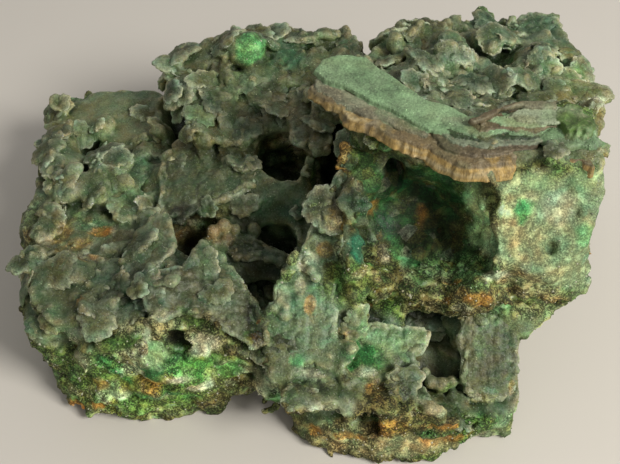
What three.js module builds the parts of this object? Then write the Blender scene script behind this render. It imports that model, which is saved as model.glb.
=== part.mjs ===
// A garnierite specimen: one broken lump of silica-crusted nickel silicate rock, about 100 mm long.
// Its top is a druse-lined hollow, a laminated ledge runs across the right half, and the front is
// broken matrix with a deep alcove under the ledge and a pocket below it.
//
// The lump is described as rock blocks, each a plan outline between two sloping faces, which are
// melted together and then hollowed by the vugs. The result is sampled on a grid and faceted.
//
// Millimetres. +X along the specimen, +Y from front to back, +Z up. The origin lies on the worn
// flat underside that the specimen rests on.
import * as THREE from 'three';
import { ImprovedNoise } from 'three/addons/math/ImprovedNoise.js';

const cell = 2.45; // grid spacing of the facets
const meltWidth = 4; // how far neighbouring blocks flow into each other
const vugEdge = 1.2; // rounding where a vug opens through the surface
const fillDepth = 0.6; // how far the surface lies outside a sample that was filled in
const lumps = [
  { height: 1.5, spacing: 11 },
  { height: 1, spacing: 5.5 },
]; // the roughness that facets of this size can show

// Plan outlines run round each block. A face's height is its value at x = y = 0 plus its slopes,
// and lean is how much the walls draw in for each millimetre of height.
const blocks = [
  {
    name: 'left shoulder',
    outline: [
      [-49, 33], [-38, 35], [-28, 35], [-20, 26], [-15, 8], [-20, -6], [-42, -10], [-50, -1], [-52, 12], [-51, 23],
    ],
    top: { height: 20.5, slopeX: 0.05, slopeY: -0.04 },
    bottom: { height: -2.5, slopeX: -0.09, slopeY: 0 },
    lean: -0.06,
  },
  {
    name: 'front left lobe',
    outline: [
      [-49, -6], [-46, -17], [-41, -23.5], [-35, -27], [-24, -28], [-12, -26.5], [-7, -27], [-6, -22], [-10, -15],
      [-15, -10], [-22, -6],
    ],
    top: { height: 23, slopeX: 0.02, slopeY: 0.08 },
    bottom: { height: -2.5, slopeX: -0.07, slopeY: 0 },
    lean: 0.09,
  },
  {
    name: 'back block',
    outline: [[-29, 32], [-23, 38], [-13, 43], [4, 41], [13, 38], [15, 10], [4, 8], [-6, 0], [-22, -1], [-24, 15]],
    top: { height: 21.5, slopeX: 0.05, slopeY: 0.26 },
    bottom: { height: 3, slopeX: 0, slopeY: 0.16 },
    lean: 0.15,
  },
  {
    name: 'bowl block',
    outline: [
      [11.5, 31], [17, 35.5], [31, 37.5], [44, 35], [48, 20], [45.5, 8], [42, -2], [28, -6], [14, 0], [4, 9],
      [4, 20],
    ],
    top: { height: 37, slopeX: 0.02, slopeY: -0.06 },
    bottom: { height: 2, slopeX: 0.15, slopeY: 0.14 },
    lean: 0.03,
  },
  {
    name: 'right block',
    outline: [[3, -17.5], [14, -19], [27, -19], [36, -18.5], [42, -16], [45, -9], [43.5, 4], [12, 6], [4, -4]],
    top: { height: 37, slopeX: 0, slopeY: 0.3 },
    bottom: { height: 15, slopeX: 0.03, slopeY: 0.1 },
    lean: 0.03,
  },
  {
    name: 'spine',
    outline: [
      [8, 3], [2, -8], [-2, -15], [-6.5, -21], [-8, -27], [-2, -27.5], [7, -24], [9, -15], [10, -6], [14, 2],
    ],
    top: { height: 36, slopeX: 0, slopeY: 0.86 },
    bottom: { height: 1, slopeX: 0, slopeY: -0.1 },
    lean: 0.06,
  },
  {
    name: 'front base',
    outline: [
      [-6, -27], [-2, -31], [4, -33.5], [10, -35], [19, -34], [27, -31.5], [33.5, -29], [34.5, -22], [34, -8], [-4, -8],
    ],
    top: { height: 9.5, slopeX: 0, slopeY: -0.12 },
    bottom: { height: 0.5, slopeX: 0.05, slopeY: 0.05 },
    lean: 0.14,
  },
  {
    name: 'root',
    outline: [
      [-40, -18], [-43, 18], [-30, 27], [-5, 28], [22, 24], [34, 14], [32, -12], [20, -27], [2, -26], [-6, -12],
    ],
    top: { height: 15, slopeX: 0, slopeY: 0 },
    bottom: { height: -4, slopeX: 0, slopeY: 0 },
    lean: -0.35,
  },
  {
    name: 'ledge',
    outline: [
      [0.5, 7], [4, 3], [9, -2.5], [18, -9], [25, -12.5], [32, -11.5], [40, -10], [42.5, -2], [42, 5], [26, 2], [16, 5],
      [8, 10], [3, 12],
    ],
    top: { height: 43, slopeX: -0.05, slopeY: 0.05 },
    bottom: { height: 37.5, slopeX: -0.02, slopeY: 0 },
    lean: 0,
  },
];

// Hollows: an ellipsoid with half-lengths in x, y and z, turned about z by so many degrees.
const vugs = [
  { name: 'bowl', at: [27, 17, 43], size: [15, 10.5, 9.5] },
  { name: 'alcove', at: [16, -10, 29], size: [9, 10, 7.6] },
  { name: 'alcove roof', at: [23, -9, 33], size: [8, 6, 3.6] },
  { name: 'alcove back', at: [17, -2, 30], size: [7, 7, 6.5] },
  { name: 'front pocket', at: [25, -25, 13], size: [10.5, 8, 3.8] },
  { name: 'pocket cave', at: [20, -18, 12.5], size: [4.8, 6, 3.4] },
  { name: 'chasm', at: [-5.5, -10, 17], size: [7, 8.5, 9], turn: -25 },
  { name: 'chasm foot', at: [-7.6, -20, 12], size: [2.4, 7, 11], turn: -12 },
  { name: 'chasm head', at: [1.5, 3, 27], size: [3, 10, 11], turn: -15 },
  { name: 'left well', at: [-20, -3, 16], size: [3.4, 3.6, 9] },
  { name: 'upper well', at: [-7, 14, 22], size: [4.8, 4.2, 10] },
  { name: 'shoulder slit', at: [-40.5, 17, 19], size: [1.4, 5, 7] },
  { name: 'lobe cavity', at: [-21, -27, 17], size: [3.6, 4.5, 2.6] },
  { name: 'base cavity', at: [6, -31, 8.5], size: [4.5, 4.5, 2.6] },
  { name: 'underside arch', at: [-8, -27, -1], size: [5.5, 10, 5] },
];

const box = { low: [-56, -39, -cell / 2], high: [52, 46, 48] };

const radians = (degrees) => (degrees * Math.PI) / 180;
const heightOf = (face, x, y) => face.height + face.slopeX * x + face.slopeY * y;

// Signed distance in plan from an outline, negative inside.
function outlineDistance(outline, x, y) {
  let nearest = Infinity;
  let inside = false;
  outline.forEach(([ax, ay], i) => {
    const [bx, by] = outline[(i + 1) % outline.length];
    const along = THREE.MathUtils.clamp(
      ((x - ax) * (bx - ax) + (y - ay) * (by - ay)) / ((bx - ax) ** 2 + (by - ay) ** 2), 0, 1);
    nearest = Math.min(nearest, Math.hypot(x - ax - along * (bx - ax), y - ay - along * (by - ay)));
    if (ay > y !== by > y && x < ax + ((y - ay) / (by - ay)) * (bx - ax)) inside = !inside;
  });
  return inside ? -nearest : nearest;
}

function smoothMin(a, b, width) {
  const overlap = Math.max(width - Math.abs(a - b), 0) / width;
  return Math.min(a, b) - overlap * overlap * width * 0.25;
}

const smoothMax = (a, b, width) => -smoothMin(-a, -b, width);

function blockDistance(block, x, y, z) {
  const wall = outlineDistance(block.outline, x, y) + block.lean * (z - heightOf(block.bottom, x, y));
  const faces = smoothMax(z - heightOf(block.top, x, y), heightOf(block.bottom, x, y) - z, vugEdge);
  return smoothMax(wall, faces, vugEdge);
}

function vugDistance(vug, x, y, z) {
  const turn = radians(vug.turn ?? 0);
  const dx = x - vug.at[0];
  const dy = y - vug.at[1];
  const scaled = [
    (dx * Math.cos(turn) + dy * Math.sin(turn)) / vug.size[0],
    (dy * Math.cos(turn) - dx * Math.sin(turn)) / vug.size[1],
    (z - vug.at[2]) / vug.size[2],
  ];
  return (Math.hypot(...scaled) - 1) * Math.min(...vug.size);
}

const noise = new ImprovedNoise();

// Distance-like value of the specimen: negative in the rock, positive in the air.
function rock(x, y, z) {
  let value = blocks.reduce((sum, block) => smoothMin(sum, blockDistance(block, x, y, z), meltWidth), 50);
  for (const { height, spacing } of lumps) {
    value += height * noise.noise(x / spacing, y / spacing, z / spacing);
  }
  for (const vug of vugs) value = smoothMax(value, -vugDistance(vug, x, y, z), vugEdge);
  return Math.max(value, -z);
}

// The grid of samples. Half a cell lies below the underside, so that it comes out exactly flat.
const counts = box.low.map((low, axis) => Math.ceil((box.high[axis] - low) / cell) + 1);
const place = (i, j, k) => [box.low[0] + i * cell, box.low[1] + j * cell, box.low[2] + k * cell];
const indexOf = (i, j, k) => i + counts[0] * (j + counts[1] * k);
const steps = [1, counts[0], counts[0] * counts[1]]; // from a sample to its neighbour on each axis
const corners = [0, 1, 2, 3, 4, 5, 6, 7].map(
  (corner) => (corner & 1) * steps[0] + ((corner >> 1) & 1) * steps[1] + (corner >> 2) * steps[2]);

function eachCell(visit) {
  for (let k = 0; k < counts[2] - 1; k++) {
    for (let j = 0; j < counts[1] - 1; j++) {
      for (let i = 0; i < counts[0] - 1; i++) visit(i, j, k, indexOf(i, j, k));
    }
  }
}

// Whether the corners of one cell that lie on the given side hang together along its edges.
function hangsTogether(values, base, wantInside) {
  const left = new Set([0, 1, 2, 3, 4, 5, 6, 7].filter((c) => values[base + corners[c]] < 0 === wantInside));
  if (!left.size) return true;
  const queue = [left.values().next().value];
  left.delete(queue[0]);
  while (queue.length) {
    const corner = queue.pop();
    for (const bit of [1, 2, 4]) {
      if (left.delete(corner ^ bit)) queue.push(corner ^ bit);
    }
  }
  return left.size === 0;
}

// Fills the corner nearest to the rock wherever the surface would touch itself along an edge or a point.
function closePinches(values) {
  let changed = true;
  while (changed) {
    changed = false;
    eachCell((i, j, k, base) => {
      while (!hangsTogether(values, base, true) || !hangsTogether(values, base, false)) {
        const outside = corners.map((step) => base + step).filter((at) => values[at] >= 0);
        const nearest = outside.reduce((best, at) => (values[at] < values[best] ? at : best));
        values[nearest] = -fillDepth;
        changed = true;
      }
    });
  }
}

// Marks every sample on the same side as the start that can be reached from it.
function flood(values, start) {
  const side = values[start] < 0;
  const reached = new Uint8Array(values.length);
  reached[start] = 1;
  const queue = [start];
  while (queue.length) {
    const at = queue.pop();
    const cellAt = [at % counts[0], Math.floor(at / steps[1]) % counts[1], Math.floor(at / steps[2])];
    for (let axis = 0; axis < 3; axis++) {
      for (const way of [-1, 1]) {
        const next = at + way * steps[axis];
        const off = cellAt[axis] + way < 0 || cellAt[axis] + way >= counts[axis];
        if (!off && !reached[next] && values[next] < 0 === side) {
          reached[next] = 1;
          queue.push(next);
        }
      }
    }
  }
  return reached;
}

function sampledRock() {
  const values = new Float64Array(counts[0] * counts[1] * counts[2]);
  for (let k = 0; k < counts[2]; k++) {
    for (let j = 0; j < counts[1]; j++) {
      for (let i = 0; i < counts[0]; i++) values[indexOf(i, j, k)] = rock(...place(i, j, k));
    }
  }
  closePinches(values);
  const air = flood(values, 0);
  values.forEach((value, at) => {
    if (value >= 0 && !air[at]) values[at] = -fillDepth;
  });
  const heart = values.indexOf(Math.min(...values));
  const solid = flood(values, heart);
  values.forEach((value, at) => {
    if (value < 0 && !solid[at]) values[at] = fillDepth;
  });
  return values;
}

// One point for each cell the surface passes through, and four-sided facets joining them.
function facetedSurface(values) {
  const points = [];
  const pointOf = new Map();
  eachCell((i, j, k, base) => {
    const sum = new THREE.Vector3();
    let crossings = 0;
    for (let corner = 0; corner < 8; corner++) {
      for (let axis = 0; axis < 3; axis++) {
        const bit = 1 << axis;
        if (corner & bit) continue;
        const a = values[base + corners[corner]];
        const b = values[base + corners[corner | bit]];
        if (a < 0 === b < 0) continue;
        const offset = [corner & 1, (corner >> 1) & 1, corner >> 2];
        offset[axis] = a / (a - b);
        sum.add(new THREE.Vector3(...offset));
        crossings += 1;
      }
    }
    if (!crossings) return;
    pointOf.set(base, points.length);
    const low = new THREE.Vector3(...place(i, j, k));
    points.push(sum.multiplyScalar(cell / crossings).add(low));
  });
  for (const point of points) {
    if (Math.abs(point.z) < 1e-6) point.z = 0;
  }

  const triangles = [];
  values.forEach((value, at) => {
    for (let axis = 0; axis < 3; axis++) {
      const next = values[at + steps[axis]];
      if (next === undefined || value < 0 === next < 0) continue;
      const u = steps[(axis + 1) % 3];
      const v = steps[(axis + 2) % 3];
      const ring = [at - u - v, at - v, at, at - u].map((base) => pointOf.get(base));
      if (ring.includes(undefined)) continue;
      if (value >= 0) ring.reverse();
      const [a, b, c, d] = ring;
      const shortWay = points[a].distanceToSquared(points[c]) < points[b].distanceToSquared(points[d]);
      triangles.push(...(shortWay ? [a, b, c, a, c, d] : [a, b, d, b, c, d]));
    }
  });

  const geometry = new THREE.BufferGeometry().setFromPoints(points);
  geometry.setIndex(triangles);
  return geometry;
}

const stone = new THREE.MeshStandardMaterial({ color: 0x76845c, roughness: 0.75, metalness: 0 });
const specimen = new THREE.Mesh(facetedSurface(sampledRock()), stone);
specimen.name = 'garnierite_specimen';

const group = new THREE.Group();
group.name = 'garnierite';
group.add(specimen);

export default group;
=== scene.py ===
# Garnierite specimen: one broken lump of nickel silicate rock under a crust of sugary quartz.
# The rock is sculpted as a field of distances on a grid, in millimetres, and then meshed.
import math
import time

import bpy
import numpy as np
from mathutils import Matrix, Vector


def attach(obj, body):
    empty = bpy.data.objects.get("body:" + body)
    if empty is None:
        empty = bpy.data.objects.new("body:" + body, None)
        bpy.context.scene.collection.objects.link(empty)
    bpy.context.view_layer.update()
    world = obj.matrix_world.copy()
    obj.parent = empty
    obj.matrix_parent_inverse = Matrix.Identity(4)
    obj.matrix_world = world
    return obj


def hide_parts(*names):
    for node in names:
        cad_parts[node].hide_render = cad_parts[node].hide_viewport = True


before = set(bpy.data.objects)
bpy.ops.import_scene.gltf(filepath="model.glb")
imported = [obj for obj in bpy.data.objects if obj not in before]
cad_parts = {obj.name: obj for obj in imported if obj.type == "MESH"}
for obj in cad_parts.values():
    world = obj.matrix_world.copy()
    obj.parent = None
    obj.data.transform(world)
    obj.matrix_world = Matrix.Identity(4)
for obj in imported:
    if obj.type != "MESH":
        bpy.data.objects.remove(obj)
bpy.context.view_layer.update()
startedAt = time.time()
mm = 0.001

grid = {
    "low": (-58.0, -41.0, -0.9),
    "high": (51.0, 47.5, 49.5),
    "voxel": 0.36,  # fine spacing, for the relief
    "coarse": 0.9,  # spacing for the blocks and the big hollows
    "triangles": 194000,
    "seed": 7,
}
far = 50  # a distance that means well away from the rock
floorGap = 0.8  # no small grain stands nearer to the floor than this
wobbleWide = (3.6, 0.6)  # bump width and height of the fine bends in every shape
wobbleNarrow = (1.6, 0.35)


def report(text):
    print(f"[{time.time() - startedAt:6.1f} s] {text}", flush=True)


def axisPoints(low, high, spacing):
    return [np.arange(a, b, spacing, dtype=np.float32) for a, b in zip(low, high)]


fine = axisPoints(grid["low"], grid["high"], grid["voxel"])
coarse = axisPoints(grid["low"], grid["high"], grid["coarse"])


# Rows of weights that read a row of samples at the given points, by smooth or by exact curves.
def splineWeights(points, first, spacing, count, exact):
    at = (np.asarray(points) - first) / spacing
    cellIndex = np.floor(at).astype(int)
    t = at - cellIndex
    if exact:
        parts = [((-0.5 * t + 1) * t - 0.5) * t, (1.5 * t - 2.5) * t * t + 1,
                 ((-1.5 * t + 2) * t + 0.5) * t, (0.5 * t - 0.5) * t * t]
    else:
        parts = [(1 - t) ** 3 / 6, (3 * t - 6) * t * t / 6 + 2 / 3,
                 ((-3 * t + 3) * t + 3) * t / 6 + 1 / 6, t ** 3 / 6]
    weights = np.zeros((len(at), count), np.float32)
    for offset, part in zip((-1, 0, 1, 2), parts):
        np.add.at(weights, (np.arange(len(at)), np.clip(cellIndex + offset, 0, count - 1)), part)
    return weights


def spreadOut(samples, weights):
    for axis in range(3):
        samples = np.moveaxis(np.tensordot(weights[axis], samples, axes=(1, axis)), 0, axis)
    return np.ascontiguousarray(samples, dtype=np.float32)


# Smooth noise between about -1 and 1 on a grid, with bumps as wide as the spacing along x, y and z.
def gridNoise(axes, spacing, seed):
    draws = np.random.default_rng(grid["seed"] * 1000 + seed)
    spacing = np.broadcast_to(spacing, 3)
    counts = [int((high - low) / gap) + 5 for low, high, gap in zip(grid["low"], grid["high"], spacing)]
    samples = draws.uniform(-1.7, 1.7, counts).astype(np.float32)
    weights = [splineWeights(axis, low - 1.5 * gap, gap, count, False)
               for axis, low, gap, count in zip(axes, grid["low"], spacing, counts)]
    return spreadOut(samples, weights)


# Noises on top of one another, each a spacing and a height. Their seeds follow one another.
def noiseSum(axes, layers, seed):
    return sum(height * gridNoise(axes, spacing, seed + n) for n, (spacing, height) in enumerate(layers))


# How far a shape is pushed about at each sample, along x, y and z.
def bends(axes):
    (wide, wideHeight), (narrow, narrowHeight) = wobbleWide, wobbleNarrow
    return [wideHeight * gridNoise(axes, wide, 40 + n) + narrowHeight * gridNoise(axes, narrow, 50 + n)
            for n in range(3)]


def toFine(samples):
    weights = [splineWeights(points, known[0], grid["coarse"], len(known), True)
               for points, known in zip(fine, coarse)]
    return spreadOut(samples, weights)


def smoothMin(a, b, width):
    overlap = np.maximum(width - np.abs(a - b), 0) / width
    return np.minimum(a, b) - overlap * overlap * (width * 0.25)


def smoothMax(a, b, width):
    return -smoothMin(-a, -b, width)


def smoothStep(low, high, value):
    t = np.clip((value - low) / (high - low), 0, 1)
    return t * t * (3 - 2 * t)


# The rock's blocks: each has a plan outline between two sloping faces. A face is its height at
# x = y = 0 and its slopes, and lean is how much the walls draw in for each millimetre of height.
rockBlocks = {
    "left shoulder": {
        "outline": [(-51.5, 37.5), (-46, 37), (-38, 36), (-28, 36), (-20, 26), (-15, 8), (-20, -6),
                    (-42, -10), (-49.5, -1), (-51, 12), (-50.5, 20), (-49, 27), (-51, 31)],
        "top": (20, 0.05, -0.04), "bottom": (-2.5, -0.09, 0), "lean": 0.03},
    "front left lobe": {
        "outline": [(-49, -6), (-46, -17), (-41, -23.5), (-35, -27), (-24, -28), (-12, -26.5), (-7, -27),
                    (-6, -22), (-10, -15), (-15, -10), (-22, -6)],
        "top": (21.5, 0.02, 0.1), "bottom": (-2.5, -0.07, 0), "lean": 0.09},
    "back block": {
        "outline": [(-29, 32), (-23, 38), (-13, 43), (4, 41), (13, 38), (15, 10), (4, 8), (-6, 0),
                    (-22, -1), (-24, 15)],
        "top": (20.5, 0.05, 0.26), "bottom": (3, 0, 0.16), "lean": 0.15},
    "bowl block": {
        "outline": [(11.5, 31), (17, 35.5), (31, 37.5), (44, 35), (48, 20), (45.5, 8), (42, -2), (28, -6),
                    (14, 0), (4, 9), (4, 20)],
        "top": (36.5, 0.02, -0.06), "bottom": (2, 0.15, 0.14), "lean": 0.03},
    "right block": {
        "outline": [(22, -18.5), (27, -19), (35.5, -18.5), (40.5, -16), (42.7, -10.5), (41.5, -5),
                    (23, -5)],
        "top": (47.5, 0, 1), "bottom": (15, 0.03, 0.1), "lean": 0.03},
    "alcove block": {
        "outline": [(3, -17.5), (14, -19), (26, -19), (30, -10), (30, 4), (12, 6), (4, -4)],
        "top": (36.5, 0, 0.42), "bottom": (15, 0.03, 0.1), "lean": 0.03},
    "band": {
        "outline": [(5, -19.4), (14, -19.9), (24, -20.1), (35.5, -20), (41.2, -18.4), (42.8, -14),
                    (40, -10), (8, -10)],
        "top": (35.9, 0, 0.75), "bottom": (20.8, 0, 0), "lean": 0},
    "ledge bed": {
        "outline": [(1.8, 7.5), (5.4, 3.6), (9.8, -0.8), (18, -7.4), (24, -10.2), (32, -9.4),
                    (39.5, -8.8), (41.5, -3), (42.5, 5), (30, 4), (18, 4), (12, 9), (6, 13), (2.2, 12)],
        "top": (40.6, -0.01, 0.05), "bottom": (34.5, 0, 0), "lean": 0},
    "spine": {
        "outline": [(8, 3), (2, -8), (-2, -15), (-6.5, -21), (-8, -27), (-2, -27.5), (7, -24), (9, -15),
                    (10, -6), (14, 2)],
        "top": (36, 0, 0.86), "bottom": (1, 0, -0.1), "lean": 0.06},
    "mid slope": {
        "outline": [(-19, 3.4), (-14.5, -0.8), (-9, -1.6), (-5, -1.2), (-1.5, 1.5), (0.6, 5.5), (0, 9.5),
                    (-5, 8), (-10, 10), (-18, 9)],
        "top": (15.4, 0, 1.02), "bottom": (1, 0, 0), "lean": 0.02},
    "front base": {
        "outline": [(-6, -27), (-2, -31), (4, -33.5), (10, -35), (19, -34), (27, -31.5), (33.5, -29),
                    (34.5, -22), (34, -8), (-4, -8)],
        "top": (9.5, 0, -0.12), "bottom": (0.5, 0.05, 0.05), "lean": 0.14},
    "root": {
        "outline": [(-40, -18), (-43, 18), (-30, 27), (-5, 28), (22, 24), (34, 14), (32, -12), (20, -27),
                    (2, -26), (-6, -12)],
        "top": (15, 0, 0), "bottom": (-4, 0, 0), "lean": -0.35},
}
rockMelt = 3.2  # how far neighbouring blocks flow into each other
skinDepth = 0.6  # taken off the blocks all round, to leave room for the crust
rockWobble = [(11.0, 1.7), (5.0, 0.8)]  # bump width and height of the bends in every face


# A shape is an ellipsoid: its middle and half-lengths, and in degrees how far it is turned about z and
# then tipped about its own x and y. A hollow is taken away from the rock, a lump is added to it.
def hollow(at, size, **more):
    return {"at": at, "size": size, "carve": True, **more}


def lump(at, size, **more):
    return {"at": at, "size": size, **more}


# The big hollows. A bare one has broken rock for its walls, the others are lined with crust.
bigHollows = {
    "bowl": hollow((27, 18, 43), (14.5, 11, 9.5), bare=True),
    "alcove": hollow((16.5, -13, 30.5), (9.5, 9.2, 7.4), bare=True),
    "alcove roof": hollow((20.5, -9.5, 36), (6.5, 5, 3), turn=-35, bare=True),
    "front pocket": hollow((24, -24, 13), (10.5, 7.5, 5.4)),
    "pocket cave": hollow((20, -18, 12.5), (4.8, 6, 3.4)),
    "chasm": hollow((-6.5, -8.5, 17), (7, 7.5, 9.5), turn=-25),
    "chasm foot": hollow((-7.4, -15.5, 11), (2.6, 5.4, 11), turn=-12),
    "chasm head": hollow((3.6, 5.5, 29), (2.6, 6.5, 9), turn=-15),
    "left well": hollow((-20, -2.4, 14), (4.5, 4.5, 11)),
    "upper well": hollow((-5.2, 12.4, 16), (4.6, 5.9, 13)),
    "hole by the ledge": hollow((4.2, 13.5, 19), (2.7, 5.6, 10)),
    "trench": hollow((-24.4, 25, 18), (1.9, 8.5, 5), turn=4),
    "shoulder slit": hollow((-40.1, 19.3, 18), (1.7, 5, 9)),
    "lobe cavity": hollow((-21, -27, 17), (3.6, 4.5, 2.6)),
    "base cavity": hollow((6, -31, 8.5), (4.5, 4.5, 2.6)),
    "underside arch": hollow((-8, -27, -1), (5.5, 10, 5), bare=True),
}
hollowEdge = 1.0  # rounding where a hollow opens through the surface


# Squared distance from a place, counted in half-lengths.
def spotDistance(x, y, z, centre, half):
    return sum(((one - middle) / reach) ** 2 for one, middle, reach in zip((x, y, z), centre, half))


# Signed distance in plan from an outline, negative inside.
def planDistance(outline, x, y):
    nearest = np.full(np.broadcast(x, y).shape, 1e9, np.float32)
    inside = np.zeros(nearest.shape, bool)
    for (ax, ay), (bx, by) in zip(outline, outline[1:] + outline[:1]):
        dx, dy = bx - ax, by - ay
        along = np.clip(((x - ax) * dx + (y - ay) * dy) / (dx * dx + dy * dy), 0, 1)
        nearest = np.minimum(nearest, (x - ax - along * dx) ** 2 + (y - ay - along * dy) ** 2)
        if dy:
            inside ^= ((ay > y) != (by > y)) & (x < ax + (y - ay) * (dx / dy))
    return np.where(inside, -1, 1).astype(np.float32) * np.sqrt(nearest)


def facePlane(face, x, y):
    return face[0] + face[1] * x + face[2] * y


def blockDistance(block, x, y, z):
    bottom = facePlane(block["bottom"], x, y)
    wall = planDistance(block["outline"], x, y) + block["lean"] * (z - bottom)
    faces = smoothMax(z - facePlane(block["top"], x, y), bottom - z, hollowEdge)
    return smoothMax(wall, faces, hollowEdge)


# Rough distance from an ellipsoid.
def ellipsoidDistance(shape, x, y, z):
    turn, tipX, tipY = (math.radians(shape.get(key, 0)) for key in ("turn", "tipX", "tipY"))
    x, y, z = x - shape["at"][0], y - shape["at"][1], z - shape["at"][2]
    x, y = x * math.cos(turn) + y * math.sin(turn), y * math.cos(turn) - x * math.sin(turn)
    y, z = y * math.cos(tipX) + z * math.sin(tipX), z * math.cos(tipX) - y * math.sin(tipX)
    z, x = z * math.cos(tipY) + x * math.sin(tipY), x * math.cos(tipY) - z * math.sin(tipY)
    a, b, c = shape["size"]
    near = np.sqrt((x / a) ** 2 + (y / b) ** 2 + (z / c) ** 2)
    steep = np.sqrt((x / a ** 2) ** 2 + (y / b ** 2) ** 2 + (z / c ** 2) ** 2)
    return near * (near - 1) / np.maximum(steep, 1e-6)


def coarseRock():
    x, y, z = np.meshgrid(*coarse, indexing="ij")
    for seed, (spacing, height) in enumerate(rockWobble):
        x = x + height * gridNoise(coarse, spacing, 10 + 3 * seed)
        y = y + height * gridNoise(coarse, spacing, 11 + 3 * seed)
        z = z + height * gridNoise(coarse, spacing, 12 + 3 * seed)
    rock = np.full(x.shape, far, np.float32)
    for block in rockBlocks.values():
        rock = smoothMin(rock, blockDistance(block, x, y, z), rockMelt)
    opened = np.full(x.shape, far, np.float32)
    lined = np.full(x.shape, far, np.float32)
    for shape in bigHollows.values():
        distance = ellipsoidDistance(shape, x, y, z)
        opened = smoothMin(opened, distance, hollowEdge)
        if not shape.get("bare"):
            lined = smoothMin(lined, distance, hollowEdge)
    return smoothMax(rock, -opened, hollowEdge), lined


# The finishes that show on the specimen: a colour, how much it is speckled and how much it is crust.
finishes = {
    "druse": {"tone": (0.15, 0.19, 0.092), "grit": 0.15, "crust": 1},
    "blue druse": {"tone": (0.105, 0.18, 0.1), "grit": 0.15, "crust": 1},
    "olive": {"tone": (0.165, 0.155, 0.06), "grit": 0.2, "crust": 0.9},
    "gray": {"tone": (0.165, 0.17, 0.1), "grit": 0.15, "crust": 1},
    "mint": {"tone": (0.25, 0.37, 0.19), "grit": 0.3, "crust": 0.6},
    "pale": {"tone": (0.29, 0.34, 0.215), "grit": 0.15, "crust": 1},
    "cream": {"tone": (0.48, 0.44, 0.29), "grit": 0.25, "crust": 0.7},
    "teal": {"tone": (0.02, 0.125, 0.075), "grit": 0.3, "crust": 0.4},
    "dark": {"tone": (0.03, 0.055, 0.016), "grit": 0.3, "crust": 0.6},
    "vivid": {"tone": (0.022, 0.15, 0.04), "grit": 0.8, "crust": 0.1},
    "bright": {"tone": (0.11, 0.4, 0.14), "grit": 0.5, "crust": 0.3},
    "moss": {"tone": (0.085, 0.15, 0.035), "grit": 0.7, "crust": 0},
    "brown": {"tone": (0.095, 0.08, 0.03), "grit": 1, "crust": 0},
    "tan": {"tone": (0.32, 0.285, 0.15), "grit": 0.6, "crust": 0},
    "gold": {"tone": (0.36, 0.24, 0.075), "grit": 0.6, "crust": 0},
    "rust": {"tone": (0.38, 0.17, 0.035), "grit": 0.5, "crust": 0},
    "chalk": {"tone": (0.5, 0.5, 0.37), "grit": 0.5, "crust": 0},
    # deep: painted shade, a near black laid in holes, gaps and the back of the alcove
    "deep": {"tone": (0.006, 0.02, 0.004), "grit": 0.6, "crust": 0},
    "emerald": {"tone": (0.02, 0.115, 0.034), "grit": 0.55, "crust": 0},
    "leafy": {"tone": (0.07, 0.21, 0.04), "grit": 0.6, "crust": 0},
    "face": {"tone": (0.25, 0.31, 0.18), "grit": 0.5, "crust": 0},
    # rim: the pale edge of flakes and sheets, partly their own pale rim and partly painted light through the
    # thin edge
    "rim": {"tone": (0.52, 0.545, 0.4), "grit": 0.1, "crust": 1},
    "flesh": {"tone": (0.43, 0.28, 0.15), "grit": 0.2, "crust": 0.8},
    "umber": {"tone": (0.12, 0.092, 0.048), "grit": 0.6, "crust": 0},
    "strip": {"tone": (0.17, 0.16, 0.1), "grit": 0.9, "crust": 0.5},
    "slab": {"tone": (0.185, 0.3, 0.15), "grit": 0.1, "crust": 0.8},
    "leaf": {"tone": (0.2, 0.24, 0.15), "grit": 0.5, "crust": 0.2},
}


def toneOf(name):
    return np.array(finishes[name]["tone"])


def blend(tint, tone, share):
    return tint + (tone - tint) * share[:, None]
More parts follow.
